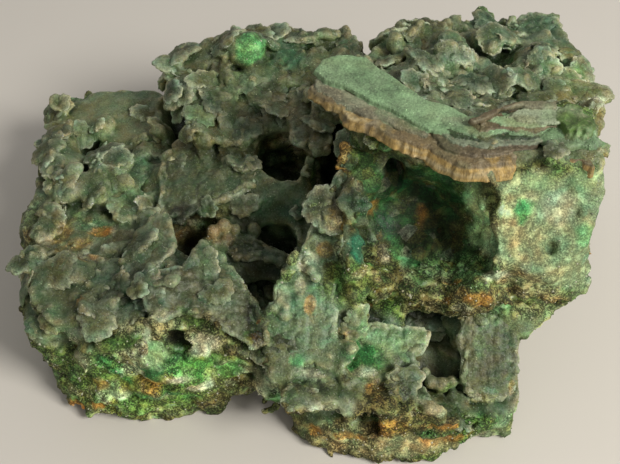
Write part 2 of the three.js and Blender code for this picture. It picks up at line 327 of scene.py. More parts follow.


# Where each finish lies, later ones over earlier ones: a place, half-lengths along x, y and z (z is as
# y where it isn't given), how strong it is and, for a few, a turn about z in degrees.
# The 'deep' patches, and the 'dark' ones over the wells and holes, are painted shade.
patches = [
    ("olive", (-37, 26, 18), (14, 8, 6), 0.75), ("olive", (-24, 20, 21), (6, 8, 5), 0.5),
    ("brown", (-48, 4, 16), (3, 9, 6), 0.4), ("gold", (-51, 4, 13), (2.6, 7, 5), 0.5),
    ("teal", (-41.5, 22, 17), (3.5, 3, 5), 0.35), ("mint", (-31, 12, 19), (3.5, 4), 0.4),
    ("mint", (-30, 5.4, 18), (2.4, 2, 3), 0.55), ("mint", (-36.5, 8, 19), (3, 5, 3), 0.25),
    ("vivid", (-36.8, 0.2, 18.5), (3, 2, 3), 0.6), ("bright", (-10.8, 31.4, 30.9), (2.5, 2.6, 4), 0.75),
    ("teal", (-4.6, 31, 26.7), (3.6, 2.6, 4), 0.6), ("cream", (1.6, 29, 31), (1.6, 1.3, 3), 0.4),
    ("mint", (-13, 24, 27), (3, 4), 0.3), ("gray", (-3, 18, 27), (10, 6), 0.55),
    ("olive", (-18, 28, 28), (4, 8, 5), 0.35), ("teal", (-19, 33, 27), (3, 4), 0.25),
    ("cream", (29.5, 31, 34), (1.8, 1.4, 3), 0.75), ("gray", (31, 27, 33), (5, 4), 0.5),
    ("cream", (36.5, 25.6, 35), (1.6, 1.1, 3), 0.45), ("bright", (44, 18, 36), (2.4, 2.2, 4), 0.4),
    ("bright", (33.5, 22, 35), (1.8, 1.4, 3), 0.4), ("mint", (13, 28, 34), (4, 5), 0.35),
    ("olive", (21, 33, 35), (8, 4, 5), 0.45), ("olive", (43, 10, 37), (6, 10, 5), 0.5),
    ("blue druse", (24, 18, 34), (7, 6, 5), 0.6), ("moss", (39.5, 1.8, 41.5), (4, 3.5, 3), 0.95),
    ("vivid", (38.5, 1.2, 41.5), (2.2, 2, 3), 0.5), ("dark", (-6, 13, 17), (6, 6), 0.8),
    ("dark", (4, 7, 26), (3.5, 6), 0.8), ("moss", (38, 22, 12), (8, 14, 10), 0.5),
    ("rust", (30, 30, 8), (6, 6, 3), 0.5), ("chalk", (-6, 38, 14), (7, 4, 3), 0.5),
    ("vivid", (40, 10, 20), (5, 6, 4), 0.6), ("rust", (-40, 30, 5), (6, 6, 3), 0.6),
    ("moss", (-20, 33, 8), (9, 6, 5), 0.5), ("emerald", (16.5, -7.5, 30), (10, 8.5, 8), 1),
    ("deep", (19.5, -6.5, 27.5), (6.5, 6.5), 0.75), ("face", (36, -13.5, 31.5), (11, 8, 11), 1),
    ("brown", (22, -18.5, 22), (18, 3.6, 3.4), 0.9), ("moss", (5, -17, 24), (4, 3, 5), 0.5),
    ("moss", (8.8, -1.4, 35.7), (2.7, 5.1), 0.9), ("olive", (7.4, 2.3, 35.3), (1.4, 2), 0.6),
    ("deep", (12.6, -2.4, 31.7), (1.8, 2.8), 0.95), ("pale", (14.3, -5.8, 36), (0.6, 2.3), 0.8),
    ("pale", (11, -2.1, 34.8), (0.6, 1.8), 0.5), ("emerald", (17.6, -4.4, 35.1), (2.5, 2.5), 0.9),
    ("emerald", (20, -3.1, 30.9), (1.5, 1.8), 0.8), ("deep", (18.6, -6.1, 24.3), (5, 5.3), 0.9),
    ("emerald", (15, -4, 25.3), (2.2, 2.1), 0.75), ("emerald", (21.5, -4.7, 27.4), (1.2, 2.4), 0.6),
    ("deep", (22.5, -9.7, 24.4), (1.5, 2.4), 0.9), ("rust", (9.3, -4.9, 27.9), (1.6, 1.2), 0.85),
    ("rust", (4.5, -9.2, 29.1), (0.8, 1.6), 0.85), ("rust", (17.6, -4.3, 25), (0.8, 2.5), 0.6),
    ("teal", (7.4, -14.1, 29.3), (1.6, 2.7), 0.85), ("pale", (5.2, -12.9, 30), (0.6, 2.7), 0.7),
    ("pale", (8.5, -7.2, 27.2), (2, 0.8), 0.5), ("bright", (3.2, -14.4, 29), (1.3, 1.7), 0.8),
    ("emerald", (4.1, -17, 29.1), (1.2, 1.3), 0.8), ("gold", (2.3, -11.6, 25.8), (1.4, 1.2), 0.7),
    ("pale", (0, -12.3, 24.5), (1.4, 1.2), 0.8), ("chalk", (-1.2, -3.4, 15.1), (0.8, 0.9), 0.7),
    ("chalk", (11.8, -10.8, 23.1), (0.8, 1.4), 0.7), ("bright", (13.5, -9.1, 22.5), (1.1, 2), 0.6),
    ("emerald", (15.6, -11.5, 22.2), (1.9, 1), 0.7), ("gray", (24.7, -8.8, 31.3), (1.6, 2.9), 0.8),
    ("deep", (25.3, -10.4, 25.7), (1.1, 2), 0.9), ("mint", (26.8, -14.9, 26.5), (1.5, 1.4), 0.8),
    ("moss", (22.4, -5.6, 34), (1.3, 1.2), 0.5), ("tan", (29.5, -12.4, 34.6), (2, 4.5), 0.75),
    ("tan", (31.6, -16.3, 31.3), (3.5, 3.4), 0.6), ("chalk", (35.7, -12.2, 35.9), (2.4, 2.8), 0.5),
    ("mint", (38.4, -10.6, 39), (2.5, 1.7), 0.7), ("mint", (33.1, -10.6, 39.2), (2.5, 1.5), 0.7),
    ("moss", (42.4, -12.6, 33.3), (1, 3.4), 0.7), ("bright", (39.6, -14.6, 32.6), (1.4, 1.7), 0.5),
    ("bright", (30.6, -12.2, 35), (0.9, 1.9), 0.95), ("emerald", (30.5, -12.3, 34.7), (0.6, 1.3), 0.7),
    ("dark", (35, -16.7, 32.8), (0.6, 0.9), 0.8), ("dark", (29.3, -12.3, 31.8), (0.6, 0.8), 0.8),
    ("mint", (39.6, -18.8, 31.8), (1.8, 2.2), 0.6), ("tan", (36.5, -18.2, 27.4), (2.6, 1.5), 0.5),
    ("tan", (13.4, -17.1, 25), (5.7, 0.8), 0.7), ("brown", (18.2, -17.2, 21.7), (7, 1.2), 0.8),
    ("rust", (22.1, -16.4, 24.1), (0.8, 0.8), 0.9), ("rust", (21.2, -18.1, 21.3), (0.8, 0.8), 0.85),
    ("rust", (26.3, -18.9, 21.7), (1.7, 0.8), 0.75), ("moss", (33.4, -17.4, 21.2), (3.6, 1.4), 0.8),
    ("moss", (39.8, -16.6, 20.5), (2.8, 1.4), 0.8), ("pale", (11.3, -16.5, 19.4), (2, 0.8), 0.6),
    ("teal", (14.6, -18.6, 18.6), (2.5, 1.6), 0.7), ("rust", (0, -18.2, 20.2), (0.9, 1.6), 0.9),
    ("rust", (6.9, -17.2, 20.3), (0.8, 0.8), 0.8), ("chalk", (-1.5, -16.7, 22.8), (0.9, 1.4), 0.6),
    ("blue druse", (-2.7, -17.9, 20.8), (1.7, 2.4), 0.6), ("pale", (-3.6, -20.8, 21.5), (0.7, 1), 0.6),
    ("rust", (-35.1, -1.4, 17.7), (2.2, 1.5), 0.95), ("emerald", (-37.3, -0.7, 17.8), (1.2, 1.3), 0.7),
    ("chalk", (-32.7, -1, 17.5), (0.6, 1.1), 0.8), ("rust", (-35.1, -8.7, 20.2), (2.5, 0.8), 0.7),
    ("cream", (-42.9, -7.8, 20.3), (1.1, 1.5), 0.7), ("cream", (-36.6, -12.9, 19.9), (1.4, 0.8), 0.7),
    ("rust", (-36, -16.9, 20.1), (1.5, 0.8), 0.95), ("pale", (-41.9, -11.8, 18.9), (0.8, 1), 0.5),
    ("teal", (-43.3, -10.7, 19.3), (1.6, 2.7), 0.35), ("mint", (-39, -18.4, 19.4), (0.9, 1.8), 0.4),
    ("cream", (-34.1, -21.8, 18.5), (1.5, 0.8), 0.9), ("moss", (-29.6, -23.7, 18), (2.7, 1), 0.9),
    ("moss", (-26.8, -23.2, 18.6), (1.5, 1.2), 0.9), ("dark", (-33.1, -23.7, 17.8), (0.9, 0.8), 0.7),
    ("brown", (-28.1, -24.8, 15.3), (1.7, 1.4), 0.8), ("cream", (-24.4, -22.6, 19.2), (0.6, 2.1), 0.95),
    ("cream", (-22.1, -20.8, 21.5), (1.3, 1), 0.7), ("moss", (-24.5, -20.2, 19.4), (0.9, 1), 0.8),
    ("moss", (-19.2, -19.5, 21.8), (1.2, 0.8), 0.8), ("moss", (-17.5, -20.1, 19.1), (1.5, 0.8), 0.85),
    ("mint", (-23, -24, 16.4), (2.6, 2), 0.9), ("deep", (-20.1, -22.2, 18.3), (1.8, 0.8), 0.95),
    ("chalk", (-15.8, -23.5, 17.5), (2.9, 1.6), 0.7), ("moss", (-11.9, -22.7, 20.4), (1.9, 1.2), 0.9),
    ("moss", (-9, -23.3, 18.1), (1.2, 1.6), 0.9), ("flesh", (-10.8, -21.6, 21.7), (1, 1), 0.8),
    ("pale", (-13.4, -18.4, 20.4), (2.1, 1.6), 0.6), ("mint", (-16.3, -12.3, 22.3), (1.5, 2.4), 0.4),
    ("emerald", (-28.6, -25.5, 10.6), (1.4, 1.2), 0.95), ("emerald", (-23.3, -27.2, 15), (2.3, 1.6), 0.95),
    ("leafy", (-18.3, -24.5, 14.6), (2.7, 1.2), 0.8), ("leafy", (-12.4, -24.4, 12.4), (2.3, 2.2), 0.8),
    ("tan", (-15.2, -25, 11.6), (1.5, 1.2), 0.6), ("chalk", (-20.3, -26.7, 12.6), (2.1, 0.8), 0.85),
    ("emerald", (-23.5, -26.8, 8), (3.9, 1.2), 0.7), ("leafy", (-19.8, -26.2, 6.8), (3.2, 1.2), 0.6),
    ("chalk", (-29.6, -26.5, 7.7), (2.2, 1.2), 0.9), ("rust", (-37, -24.8, 8.9), (0.9, 0.8), 0.7),
    ("rust", (-34.7, -25, 8.2), (0.8, 0.8), 0.85), ("rust", (-38.2, -25.2, 2.1), (1.8, 0.8), 0.9),
    ("rust", (-34.1, -26.2, 3.7), (1.3, 0.8), 0.9), ("emerald", (-39.5, -24.2, 12), (0.8, 2.8), 0.5),
    ("gold", (-39.5, -22.9, 13.2), (0.6, 0.8), 0.85), ("pale", (-39.4, -20.9, 14.2), (0.8, 1.2), 0.7),
    ("gray", (-36.5, -23.9, 13.9), (1.7, 1.8), 0.8), ("pale", (-35.1, -25.7, 13.6), (1.7, 0.8), 0.6),
    ("gray", (-8.2, -25, 12.7), (1.4, 1.8), 0.8), ("mint", (9.6, -20.5, 15.7), (2.8, 1.4), 0.8),
    ("mint", (12.6, -22.5, 15.5), (3.1, 2.2), 0.9), ("emerald", (7.7, -23.8, 14.6), (4.1, 2.4), 0.95),
    ("brown", (4.1, -20.7, 16.8), (1.8, 1.2), 0.6), ("rust", (5, -20.8, 17.2), (0.8, 0.8), 0.7),
    ("bright", (-2, -25.1, 15.4), (1.1, 1.2), 0.85), ("chalk", (0.3, -26.8, 14.4), (2.3, 0.8), 0.85),
    ("chalk", (7.9, -26.1, 14.3), (2.3, 0.8), 0.7), ("deep", (0.7, -28.9, 15.1), (3, 1.4), 0.9),
    ("deep", (5.5, -27.9, 15.6), (0.7, 1.4), 0.85), ("emerald", (-3, -30.6, 15), (1.3, 1.3), 0.6),
    ("gray", (-6.9, -26.6, 12.5), (1.4, 2.2), 0.7), ("rust", (9.8, -28.6, 13.7), (1.2, 0.8), 0.75),
    ("brown", (11.8, -31.7, 14.3), (3.5, 3.5), 0.9), ("pale", (5.2, -31.7, 14), (1.6, 1.7), 0.8),
    ("moss", (5.3, -33, 10.2), (2.9, 1.2), 0.8), ("rust", (6.2, -32.3, 5.2), (2.9, 0.8), 0.8),
    ("rust", (1.1, -30.5, 3.8), (1.4, 1), 0.8), ("tan", (16.2, -33.2, 5.4), (5.9, 1.6), 0.8),
    ("rust", (23.4, -32.8, 9.3), (4.8, 0.8), 0.75), ("cream", (18.7, -32.4, 13.6), (2.4, 1.2), 0.6),
    ("moss", (17.8, -28.1, 9.4), (0.9, 0.8), 0.8), ("emerald", (20.5, -28.1, 8.5), (0.8, 0.8), 0.6),
    ("moss", (21.2, -25.9, 8.8), (1.7, 0.8), 0.85), ("tan", (26.5, -27.6, 8.4), (3.4, 1.2), 0.75),
    ("gray", (29.2, -24.6, 13.3), (2, 4.4), 0.8), ("mint", (26.5, -21, 14.5), (1.1, 2.6), 0.6),
    ("cream", (23.7, -24, 14.9), (0.6, 1.8), 0.85), ("mint", (29.1, -17.5, 15.4), (2.2, 1.6), 0.8),
    ("olive", (16.1, -19.4, 17.6), (1.4, 1.4), 0.6), ("deep", (18.9, -21.1, 12), (2.7, 1.4), 0.95),
    ("deep", (22.2, -24.1, 10.7), (0.8, 1.6), 0.9), ("pale", (15.5, -22.8, 16.1), (1.1, 0.8), 0.8),
    ("gray", (17.4, -22.8, 9.9), (1.3, 1.2), 0.9), ("gray", (19.9, -24.7, 9.3), (1.6, 1.4), 0.9),
    ("chalk", (-0.2, -13.4, 24.9), (1.4, 1.8, 1.4), 0.7), ("pale", (0.8, -15.4, 24.6), (1.4, 1.8, 1.4), 0.8),
    ("pale", (-4.2, -17.6, 21), (1.4, 2.6, 2), 0.8), ("flesh", (-15.2, -0.8, 16.6), (2.8, 2.2), 0.55),
    ("gold", (31.6, -25.5, 8.8), (0.6, 1.6), 0.8), ("mint", (-22, -26, 17), (5, 2.4, 2), 0.6),
    ("leafy", (-30, -26, 9.5), (6, 3), 0.5), ("chalk", (-17.5, -26, 10), (3, 2, 1.2), 0.7),
    ("dark", (29.5, -23, 13), (4.5, 6), 0.3), ("deep", (-20.5, -1.5, 14), (3.6, 3.8, 6), 0.95),
    ("deep", (-8.4, -15, 12), (2.6, 6.5), 0.9), ("deep", (-8.8, -22, 11), (1.5, 4, 5), 0.85),
    ("deep", (-8.2, -21.5, 16.5), (0.9, 6), 0.9, 12), ("mint", (24.6, -9.5, 31), (2.2, 4.5, 5), 0.7),
    ("pale", (1.5, -21.5, 19), (5, 5), 0.3), ("pale", (-33, 28, 19), (13, 7, 5), 0.3),
    ("gold", (-41, -1.5, 18.5), (3, 1.4, 2.2), 0.6, 60), ("emerald", (-39, 2, 18), (2, 1.6, 2.2), 0.6),
    ("olive", (-31, -6.5, 20), (4, 6, 4), 0.5), ("teal", (-33, 14, 19), (4.5, 3.5, 4), 0.4),
    ("cream", (-43.5, -3.5, 19), (1.4, 1.2, 1.6), 0.7), ("tan", (9, -16.6, 26.4), (3.4, 1.3, 1.2), 0.8),
    ("chalk", (15, -16.8, 26.6), (3.6, 1.2, 1.1), 0.75), ("tan", (21.5, -17, 26.8), (3.6, 1.3, 1.2), 0.8),
    ("chalk", (27.5, -17.2, 26.4), (3.4, 1.3, 1.2), 0.65), ("gold", (12.5, -18.6, 24), (3, 1.6, 1.4), 0.6),
    ("rust", (25, -19.5, 23.5), (2.6, 1.4, 1.3), 0.7), ("emerald", (-25.5, -27, 13.2), (4, 2.2, 1.9), 0.85),
    ("leafy", (-14.5, -25.5, 13.5), (5.5, 3), 0.5), ("rust", (-35, -25.5, 9), (4, 1.8, 1.5), 0.6),
    ("gold", (-38.2, -4.5, 19), (3.6, 1.5, 2.2), 0.7, 40), ("gold", (4, -9.5, 30), (1.8, 2.6, 2.4), 0.5),
    ("gold", (12, -6.5, 29), (2.4, 2), 0.5), ("tan", (15, -33, 3.5), (9, 2, 1.6), 0.7),
    ("rust", (20, -33, 5.5), (4, 1.6, 1.2), 0.6),
]

# Painted light and shade, region by region: a place, half-lengths and how many times as light the stone is
# painted there.
paintedLightAndShade = [
    ((-27, -13, 20.5), (13, 9.5, 6), 0.78), ((-14, -15.5, 20.5), (7, 7, 6), 0.87),
    ((-33.5, -16, 19), (9, 5, 5), 0.9), ((-23, -26.5, 10), (18, 5, 9), 1.45),
    ((-16.5, 9, 20), (8, 8, 6), 0.83), ((-9, 2.5, 17.5), (6, 5, 6), 0.8),
    ((-8.5, -4.5, 15.5), (6, 5, 6), 0.55), ((-36, 29, 17.5), (13, 9, 6), 1.35),
    ((11, -5, 30), (8, 8, 9), 0.5), ((18.5, -5.5, 25), (6, 7, 8), 0.6),
    ((24.5, -9.5, 29), (3, 6, 7), 2), ((37, -12, 29.5), (9, 8, 10), 0.83),
    ((43, 14, 37), (5, 12, 5), 1.7), ((22, -18.5, 22.5), (18, 3.5, 4), 1.2),
    ((-0.5, -18, 19.5), (6, 9, 8), 1.15), ((8, -25, 15), (5, 4, 4), 1.35),
    ((14, -20, 15.5), (5, 4, 4), 1.3), ((29, -21, 11), (5, 7, 7), 0.8),
    ((13.5, -30, 12), (8, 5, 6), 1.2), ((-8.2, -16.5, 16), (2.2, 7, 8), 0.35),
    ((-20.8, -0.5, 15), (3.6, 4.2, 9), 0.15),
]


# How strongly a patch shows at each point, with a frayed edge.
def patchShare(patch, points, fray):
    _, centre, size, strength, *turn = patch
    angle = math.radians(turn[0] if turn else 0)
    x, y, z = (points - np.array(centre)).T
    x, y = x * math.cos(angle) + y * math.sin(angle), y * math.cos(angle) - x * math.sin(angle)
    near = np.sqrt((x / size[0]) ** 2 + (y / size[1]) ** 2 + (z / size[-1]) ** 2)
    return strength * smoothStep(1.12, 0.8, near + 0.6 * fray)


# Broken rock where no crust grew: a place and half-lengths.
bareSpots = [
    ((24, -14, 27), (22, 8.5, 11)), ((-24, -27, 9), (19, 5.5, 9)), ((-21, -23, 19), (13, 3.4, 4)),
    ((15, -34, 6), (22, 5, 8)),
]


# The samples within reach of a place: their slices, and their x, y and z.
def localBlock(axes, centre, reach):
    box = tuple(slice(*(int(v) for v in np.searchsorted(axis, (middle - half, middle + half))))
                for axis, middle, half in zip(axes, centre, reach))
    x, y, z = (axis[part] for axis, part in zip(axes, box))
    return box, x[:, None, None], y[None, :, None], z[None, None, :]


# Where crust grows: on faces that look up, from one slope to the other, unevenly, and in hollows.
crustGrowth = {
    "slopeFrom": -0.05, "slopeTo": 0.42,
    "uneven": [(7, 1.0), (3, 0.5)], "raggedness": 0.3,  # uneven is bump widths and heights
    "hollowFrom": 1.2, "hollowTo": -0.2,
}


# How much of the rock at each coarse sample is crust, from 0 on broken rock to 1.
def crustShare(broad, lined):
    plan = crustGrowth
    slopes = np.gradient(broad, grid["coarse"])
    up = slopes[2] / np.maximum(np.sqrt(slopes[0] ** 2 + slopes[1] ** 2 + slopes[2] ** 2), 1e-3)
    uneven = noiseSum(coarse, plan["uneven"], 20)
    share = smoothStep(plan["slopeFrom"], plan["slopeTo"], up + plan["raggedness"] * uneven)
    share = np.maximum(share, smoothStep(plan["hollowFrom"], plan["hollowTo"], lined))
    x, y, z = np.meshgrid(*coarse, indexing="ij")
    for patch in patches:
        box = localBlock(coarse, patch[1], [1.6 * max(patch[2])] * 3)[0]
        points = np.stack([x[box], y[box], z[box]], -1)
        weight = patchShare(patch, points.reshape(-1, 3), uneven[box].ravel()).reshape(x[box].shape)
        share[box] += (finishes[patch[0]]["crust"] - share[box]) * weight
    for centre, half in bareSpots:
        share *= smoothStep(0.75, 1.25, spotDistance(x, y, z, centre, half) + 0.25 * uneven)
    return share.astype(np.float32)


# Relief that is set place by place.
relief = {
    "pin hole": hollow((-28.4, 9.6, 16.5), (1.6, 1.3, 6)),
    "soft hollow": hollow((-26.4, 19.6, 18.6), (2.2, 3, 3)),
    "groove left of the mid sheet": hollow((-27, 14, 19.5), (1.2, 4.2, 2.6)),
    "groove below it": hollow((-26.3, 5.2, 18.8), (1.2, 3.4, 2.4), turn=-10),
    "lobe slit": hollow((-27.9, -10.3, 20), (0.8, 2.6, 4)),
    "brown knob": lump((-43, 14.6, 17.2), (3.4, 3.2, 2.9), tipX=20),
    "knob in front": lump((-40.2, 8, 18.2), (4, 2.8, 2.2), tipX=15),
    "groove beside the knobs": hollow((-43.9, 5.6, 17.5), (0.9, 3.2, 4)),
    "groove above the knobs": hollow((-44.5, 19.5, 17), (3.5, 1.6, 3)),
    "green knob at the back": lump((-38.5, 25.5, 16.2), (2.2, 2.6, 2.4)),
    "notch in the back block": hollow((-15.6, 30.2, 28), (3.4, 1.3, 3.4)),
    "second notch": hollow((-7.4, 31.4, 30), (1.9, 1.2, 3)),
    "third notch": hollow((-3.2, 25.2, 26), (1.3, 1.8, 3)),
    "crack in the back block": hollow((-16.5, 27, 28), (0.9, 4, 4), turn=35),
    "green hollow": hollow((-4.5, 29, 30.5), (5, 4.2, 3.4)),
    "green knob": lump((-11.5, 33, 28.5), (4.2, 3.4, 3.2)),
    "left rim knob": lump((-21.5, 25, 25.5), (3, 3.5, 2.6)),
    "left rim knob below": lump((-18.2, 20, 24.2), (2.6, 2.8, 2.4)),
    "lobe beside the well": lump((-25.6, -6.5, 20.2), (2.6, 5.6, 1.5), turn=-14),
    "shoulder ridge": lump((-35.5, 11, 19), (3.5, 7, 2.4)),
    "shoulder ridge left": lump((-44.5, 15, 18), (2.6, 7, 2.6)),
    "shoulder saddle": hollow((-42, -1, 20.5), (5, 6, 2.6)),
    "hollow right of the slit": hollow((-33, 20, 21), (4, 4, 2.4)),
    "chasm leaf": lump((-8, -4.9, 12), (6.2, 4.2, 0.9), tipX=36, tipY=12),
    "scoop below the leaf": hollow((-8.4, -9.6, 9.6), (5, 3.4, 2.8)),
    "hole behind the shelf": hollow((-6.6, 0.2, 13), (2, 2.2, 5)),
    "bridge at the chasm foot": lump((-6.4, -24.6, 9), (3.8, 2.6, 4.2)),
    "small alcove cave": hollow((13.1, -3.4, 33), (2, 4.4, 2.7)),
    "side hollow": hollow((7.6, -10.8, 27.2), (2.6, 3.2, 4.2)),
    "right face hollow": hollow((25.4, -14.2, 28.6), (1.9, 3, 3.8)),
    "pit in the right face": hollow((35.2, -15, 30.4), (0.9, 1.1, 1.2)),
    "hollow below the band": hollow((13.5, -19, 18.2), (4.4, 3.6, 2.4)),
    "undercut below the band": hollow((28, -21, 18.6), (13, 3.8, 1.9)),
    "pocket cave": hollow((21, -21, 11), (4.6, 4.4, 3.2)),
    "nest cave": hollow((-0.5, -29.5, 9), (3.6, 4.4, 3.4)),
    "nest cave right": hollow((6.5, -30.5, 9.5), (2.8, 3, 2.2)),
    "lobe cavity mouth": hollow((-20.2, -25.5, 17.6), (3.4, 3, 2.2)),
    "lobe corner hollow": hollow((-39, -24, 15.5), (4, 3.6, 3.4)),
    "bowl lump": lump((23.5, 23, 33.5), (3.6, 3, 3.4)),
    "bowl lump behind": lump((30.5, 27, 34), (3.4, 3, 3.2)),
    "bowl lump in front": lump((33, 14.5, 34.5), (3.2, 2.6, 3)),
    "bowl lump left": lump((18, 17, 34.5), (3.6, 3.4, 3.2)),
    "bowl lump middle": lump((26, 15, 33.5), (2.8, 2.6, 2.8)),
    "bowl lump right": lump((38.5, 20, 35), (3.6, 3.6, 3)),
}
stamps = {"reach": 1.15, "margin": 1.4, "melt": 0.7}  # samples looked at round a shape, and its rounding

# Knobs of crust that grew beyond the outline, taken off once the crust has grown.
strayKnobs = [
    hollow((-46.5, 30.4, 19.7), (3.8, 3.6, 3)), hollow((-47.8, -10.6, 21.6), (2.8, 2.9, 3.1)),
]
# Dark mouths, cleared once more when the crust has grown. Shingles and flakes keep away from them.
openMouths = [
    hollow((28.5, -33.5, 1.5), (5, 3.4, 4)), hollow((35.5, -28.5, 4), (3.2, 4, 5)),
    hollow((-6.9, -30.5, 5), (2.5, 2.4, 5)), hollow((-20.3, -2.2, 15), (3.6, 3.6, 7)),
    hollow((-5.2, -0.4, 12.5), (2.4, 3.2, 5), turn=-35), hollow((-8.2, -13.6, 11), (2.3, 4.2, 7), turn=-12),
    hollow((-8.6, -19.5, 10), (1.2, 3.4, 5), turn=12), hollow((-5.6, 12.8, 19), (4.2, 5, 7)),
    hollow((-2.6, 9, 17), (2.4, 2.6, 6)), hollow((19.7, -22.2, 8.8), (4.4, 3.4, 3.6)),
    hollow((22.8, -20.2, 11.2), (2.4, 2.4, 2)), hollow((14.9, -18.4, 16.4), (3.4, 3, 2.6)),
    hollow((2.4, -26, 9), (4.4, 3, 2.6)), hollow((-20.4, -21.6, 16.8), (2.6, 1.7, 1.8)),
]
# Balls of silica, each a place and a radius.
silicaBalls = [
    (-16.4, -0.4, 16.6, 1.25), (-14.5, 0.5, 17.2, 1.2), (-14.2, -1, 15.4, 1), (-15.9, -2, 14.9, 1.2),
    (-12.6, 0.2, 16.6, 0.9), (-9.4, 0.3, 16, 1.15), (-17.6, -1.6, 15.2, 1), (-13.6, -2.2, 14.4, 0.9),
    (19.2, -24.6, 8.4, 1.1), (20.8, -24.9, 8.1, 1.3), (22.4, -24.4, 8.3, 1), (18.2, -23.2, 9, 0.9),
    (-1.6, -28.2, 9.5, 1.2), (0.6, -28.6, 8.6, 1.4), (3.4, -28.8, 10, 1.5), (5, -28, 11, 1.2),
    (1.8, -27.4, 7.6, 1.1), (-0.4, -12.9, 24.6, 0.95), (0.2, -14.6, 24.4, 0.8), (0.9, -15.6, 24, 0.85),
    (-4.5, -16.4, 20.7, 0.9), (-4.2, -17.4, 20.4, 0.85), (-3.6, -18.4, 20.2, 0.8), (-3.8, -19.2, 19.2, 1.05),
    (-9.6, 0.6, 16.4, 1),
]

# Overhanging sheets of crust: an outline in plan, a sloping face, a thickness and the size of the
# beads along the edge.
crustPlates = {
    "lobe sheet": {
        "finish": "gray",
        "outline": [(-25.6, -16.7), (-23.9, -14.4), (-21.1, -13), (-19, -12.9), (-17.7, -9.2),
                    (-16.2, -8.7), (-14, -10.2), (-11.4, -13.6), (-9.8, -15.8), (-8.7, -17.6),
                    (-7.2, -20.9), (-6.9, -23.2), (-9, -24.2), (-12, -22), (-15.5, -20), (-19, -19.6),
                    (-23, -21.2)],
        "top": (22.4, -0.16, 0.22), "thick": 1.1, "bead": 0.7},
    "chasm sheet": {
        "finish": "dark",
        "outline": [(-14.6, -2.2), (-12.2, -0.8), (-9, -0.9), (-6.6, -2.8), (-3.8, -4.6), (-4.6, -6.2),
                    (-8.5, -4.2), (-12.5, -4.6)],
        "top": (15.8, 0, 0.12), "thick": 0.8, "bead": 0.55},
    "well lip": {
        "finish": "gray",
        "outline": [(-27.2, -4.8), (-25.6, -1.6), (-23.6, -0.8), (-22.6, -3.4), (-22, -7.2),
                    (-24.5, -11.5), (-28.6, -13.5), (-29.2, -9.5)],
        "top": (22, 0.02, 0.05), "thick": 1.2, "bead": 0.7},
    "mid sheet": {
        "finish": "druse",
        "outline": [(-25.4, 13.6), (-25.8, 9.6), (-25, 6), (-24.9, 3.2), (-23, 0.2), (-20.9, -0.2),
                    (-19.6, 2), (-17.4, 2.4), (-14.5, 4), (-10, 6), (-9.5, 9), (-12, 15), (-18, 18),
                    (-23, 18)],
        "top": (23.5, 0.18, 0.05), "thick": 1.3, "bead": 0.6},
    "back sheet": {
        "finish": "olive",
        "outline": [(-22.6, 25.8), (-20.8, 23.8), (-22, 22.4), (-20.6, 20.6), (-20.9, 18), (-19.4, 16.9),
                    (-19.9, 15.4), (-17.6, 13.9), (-14.2, 14.4), (-11, 15.2), (-9.6, 17.6), (-9.4, 20),
                    (-10, 26), (-15, 28), (-20, 28.5)],
        "top": (19.9, -0.16, 0.13), "thick": 1.3, "bead": 0.75},
    "olive sheet": {
        "finish": "olive",
        "outline": [(-4.2, 23.4), (-2.4, 21.2), (-3.4, 18.6), (-2.4, 16.4), (-3.2, 15), (-1.4, 12.8),
                    (-0.4, 14.2), (1, 11), (2.4, 11.6), (3.4, 14.2), (2.6, 17), (3.4, 19.5), (1, 23.5)],
        "top": (23.4, 0.05, 0.09), "thick": 1.1, "bead": 0.65},
    "spine sheet": {
        "finish": "blue druse",
        "outline": [(5.6, 0.4), (3.5, -4.2), (2, -7.6), (-0.8, -11.2), (-2.8, -13), (-5, -15.6),
                    (-4.5, -17.4), (-6.4, -18.6), (-6.9, -21), (-6.7, -22.6), (-5.3, -24.2),
                    (-2.3, -26.8), (2.4, -26.8), (5.2, -25.4), (3.5, -20), (3, -14), (5.5, -8), (8.5, -1)],
        "top": (35.9, 0, 0.86), "thick": 1.3, "bead": 0.75},
    "pocket lip": {
        "finish": "mint",
        "outline": [(6.9, -18.6), (11.7, -18.9), (15.4, -19.3), (18.5, -19.5), (17.8, -21), (16.9, -21.9),
                    (15.3, -22.3), (15.9, -23.6), (16.5, -24.1), (15.2, -24.8), (14.1, -25.1),
                    (12.6, -23.5), (11.1, -22), (9, -21), (7.1, -20)],
        "top": (24.3, 0, 0.45), "thick": 1.2, "bead": 0.5},
    "pocket panel": {
        "finish": "gray",
        "outline": [(24.4, -17.5), (26.6, -17), (29.8, -16.7), (32.1, -17), (32.3, -20.2), (32.3, -23.5),
                    (31.9, -26.2), (29.7, -26.6), (27.2, -26.7), (25, -25.9), (24.1, -24), (24.7, -21.6),
                    (23.8, -19.6)],
        "top": (30.4, 0, 0.83), "thick": 1.4, "bead": 0.5},
}
plateEdge = {
    "margin": 2, "headroom": 3,  # samples looked at round a sheet
    "flatter": 0.7, "round": 0.8, "melt": 0.7,
    # gap and size in bead sizes, the rest in millimetres
    "beadGap": 1.25, "beadSize": (0.75, 1.25), "beadRise": (-0.25, 0.35), "beadStray": 0.4, "beadMelt": 0.35,
}

liningEdge = 0.8  # how far inside and outside a lined hollow its crust fades

# Thin shingles of crust that overlap one another, with lobed edges.
shingles = {
    "gap": 3.2, "share": 0.5,
    "radius": (1.3, 3.8), "half": (0.35, 0.6),  # half is half the thickness
    "outline": (0.85, 0.2, 0.12),  # middle radius, and how far two and three bulges swing it
    "lobe": 1.5, "bite": 0.45,  # width and depth of the lobes round the edge
    "droop": 0.035, "rise": 0.35, "wobble": 0.6, "round": 0.5, "melt": 0.25,
    "lift": 0.55, "stray": 0.3,  # turned towards the sky, and at random
    "flattest": 0.4,  # no shingle stands steeper than this
    "mouthGap": 0.8, "calmed": 0.8,  # clear of dark mouths, and fewer on the calm sheets
}
flakes = []  # filled as the shingles are set: place, facing and shape of each

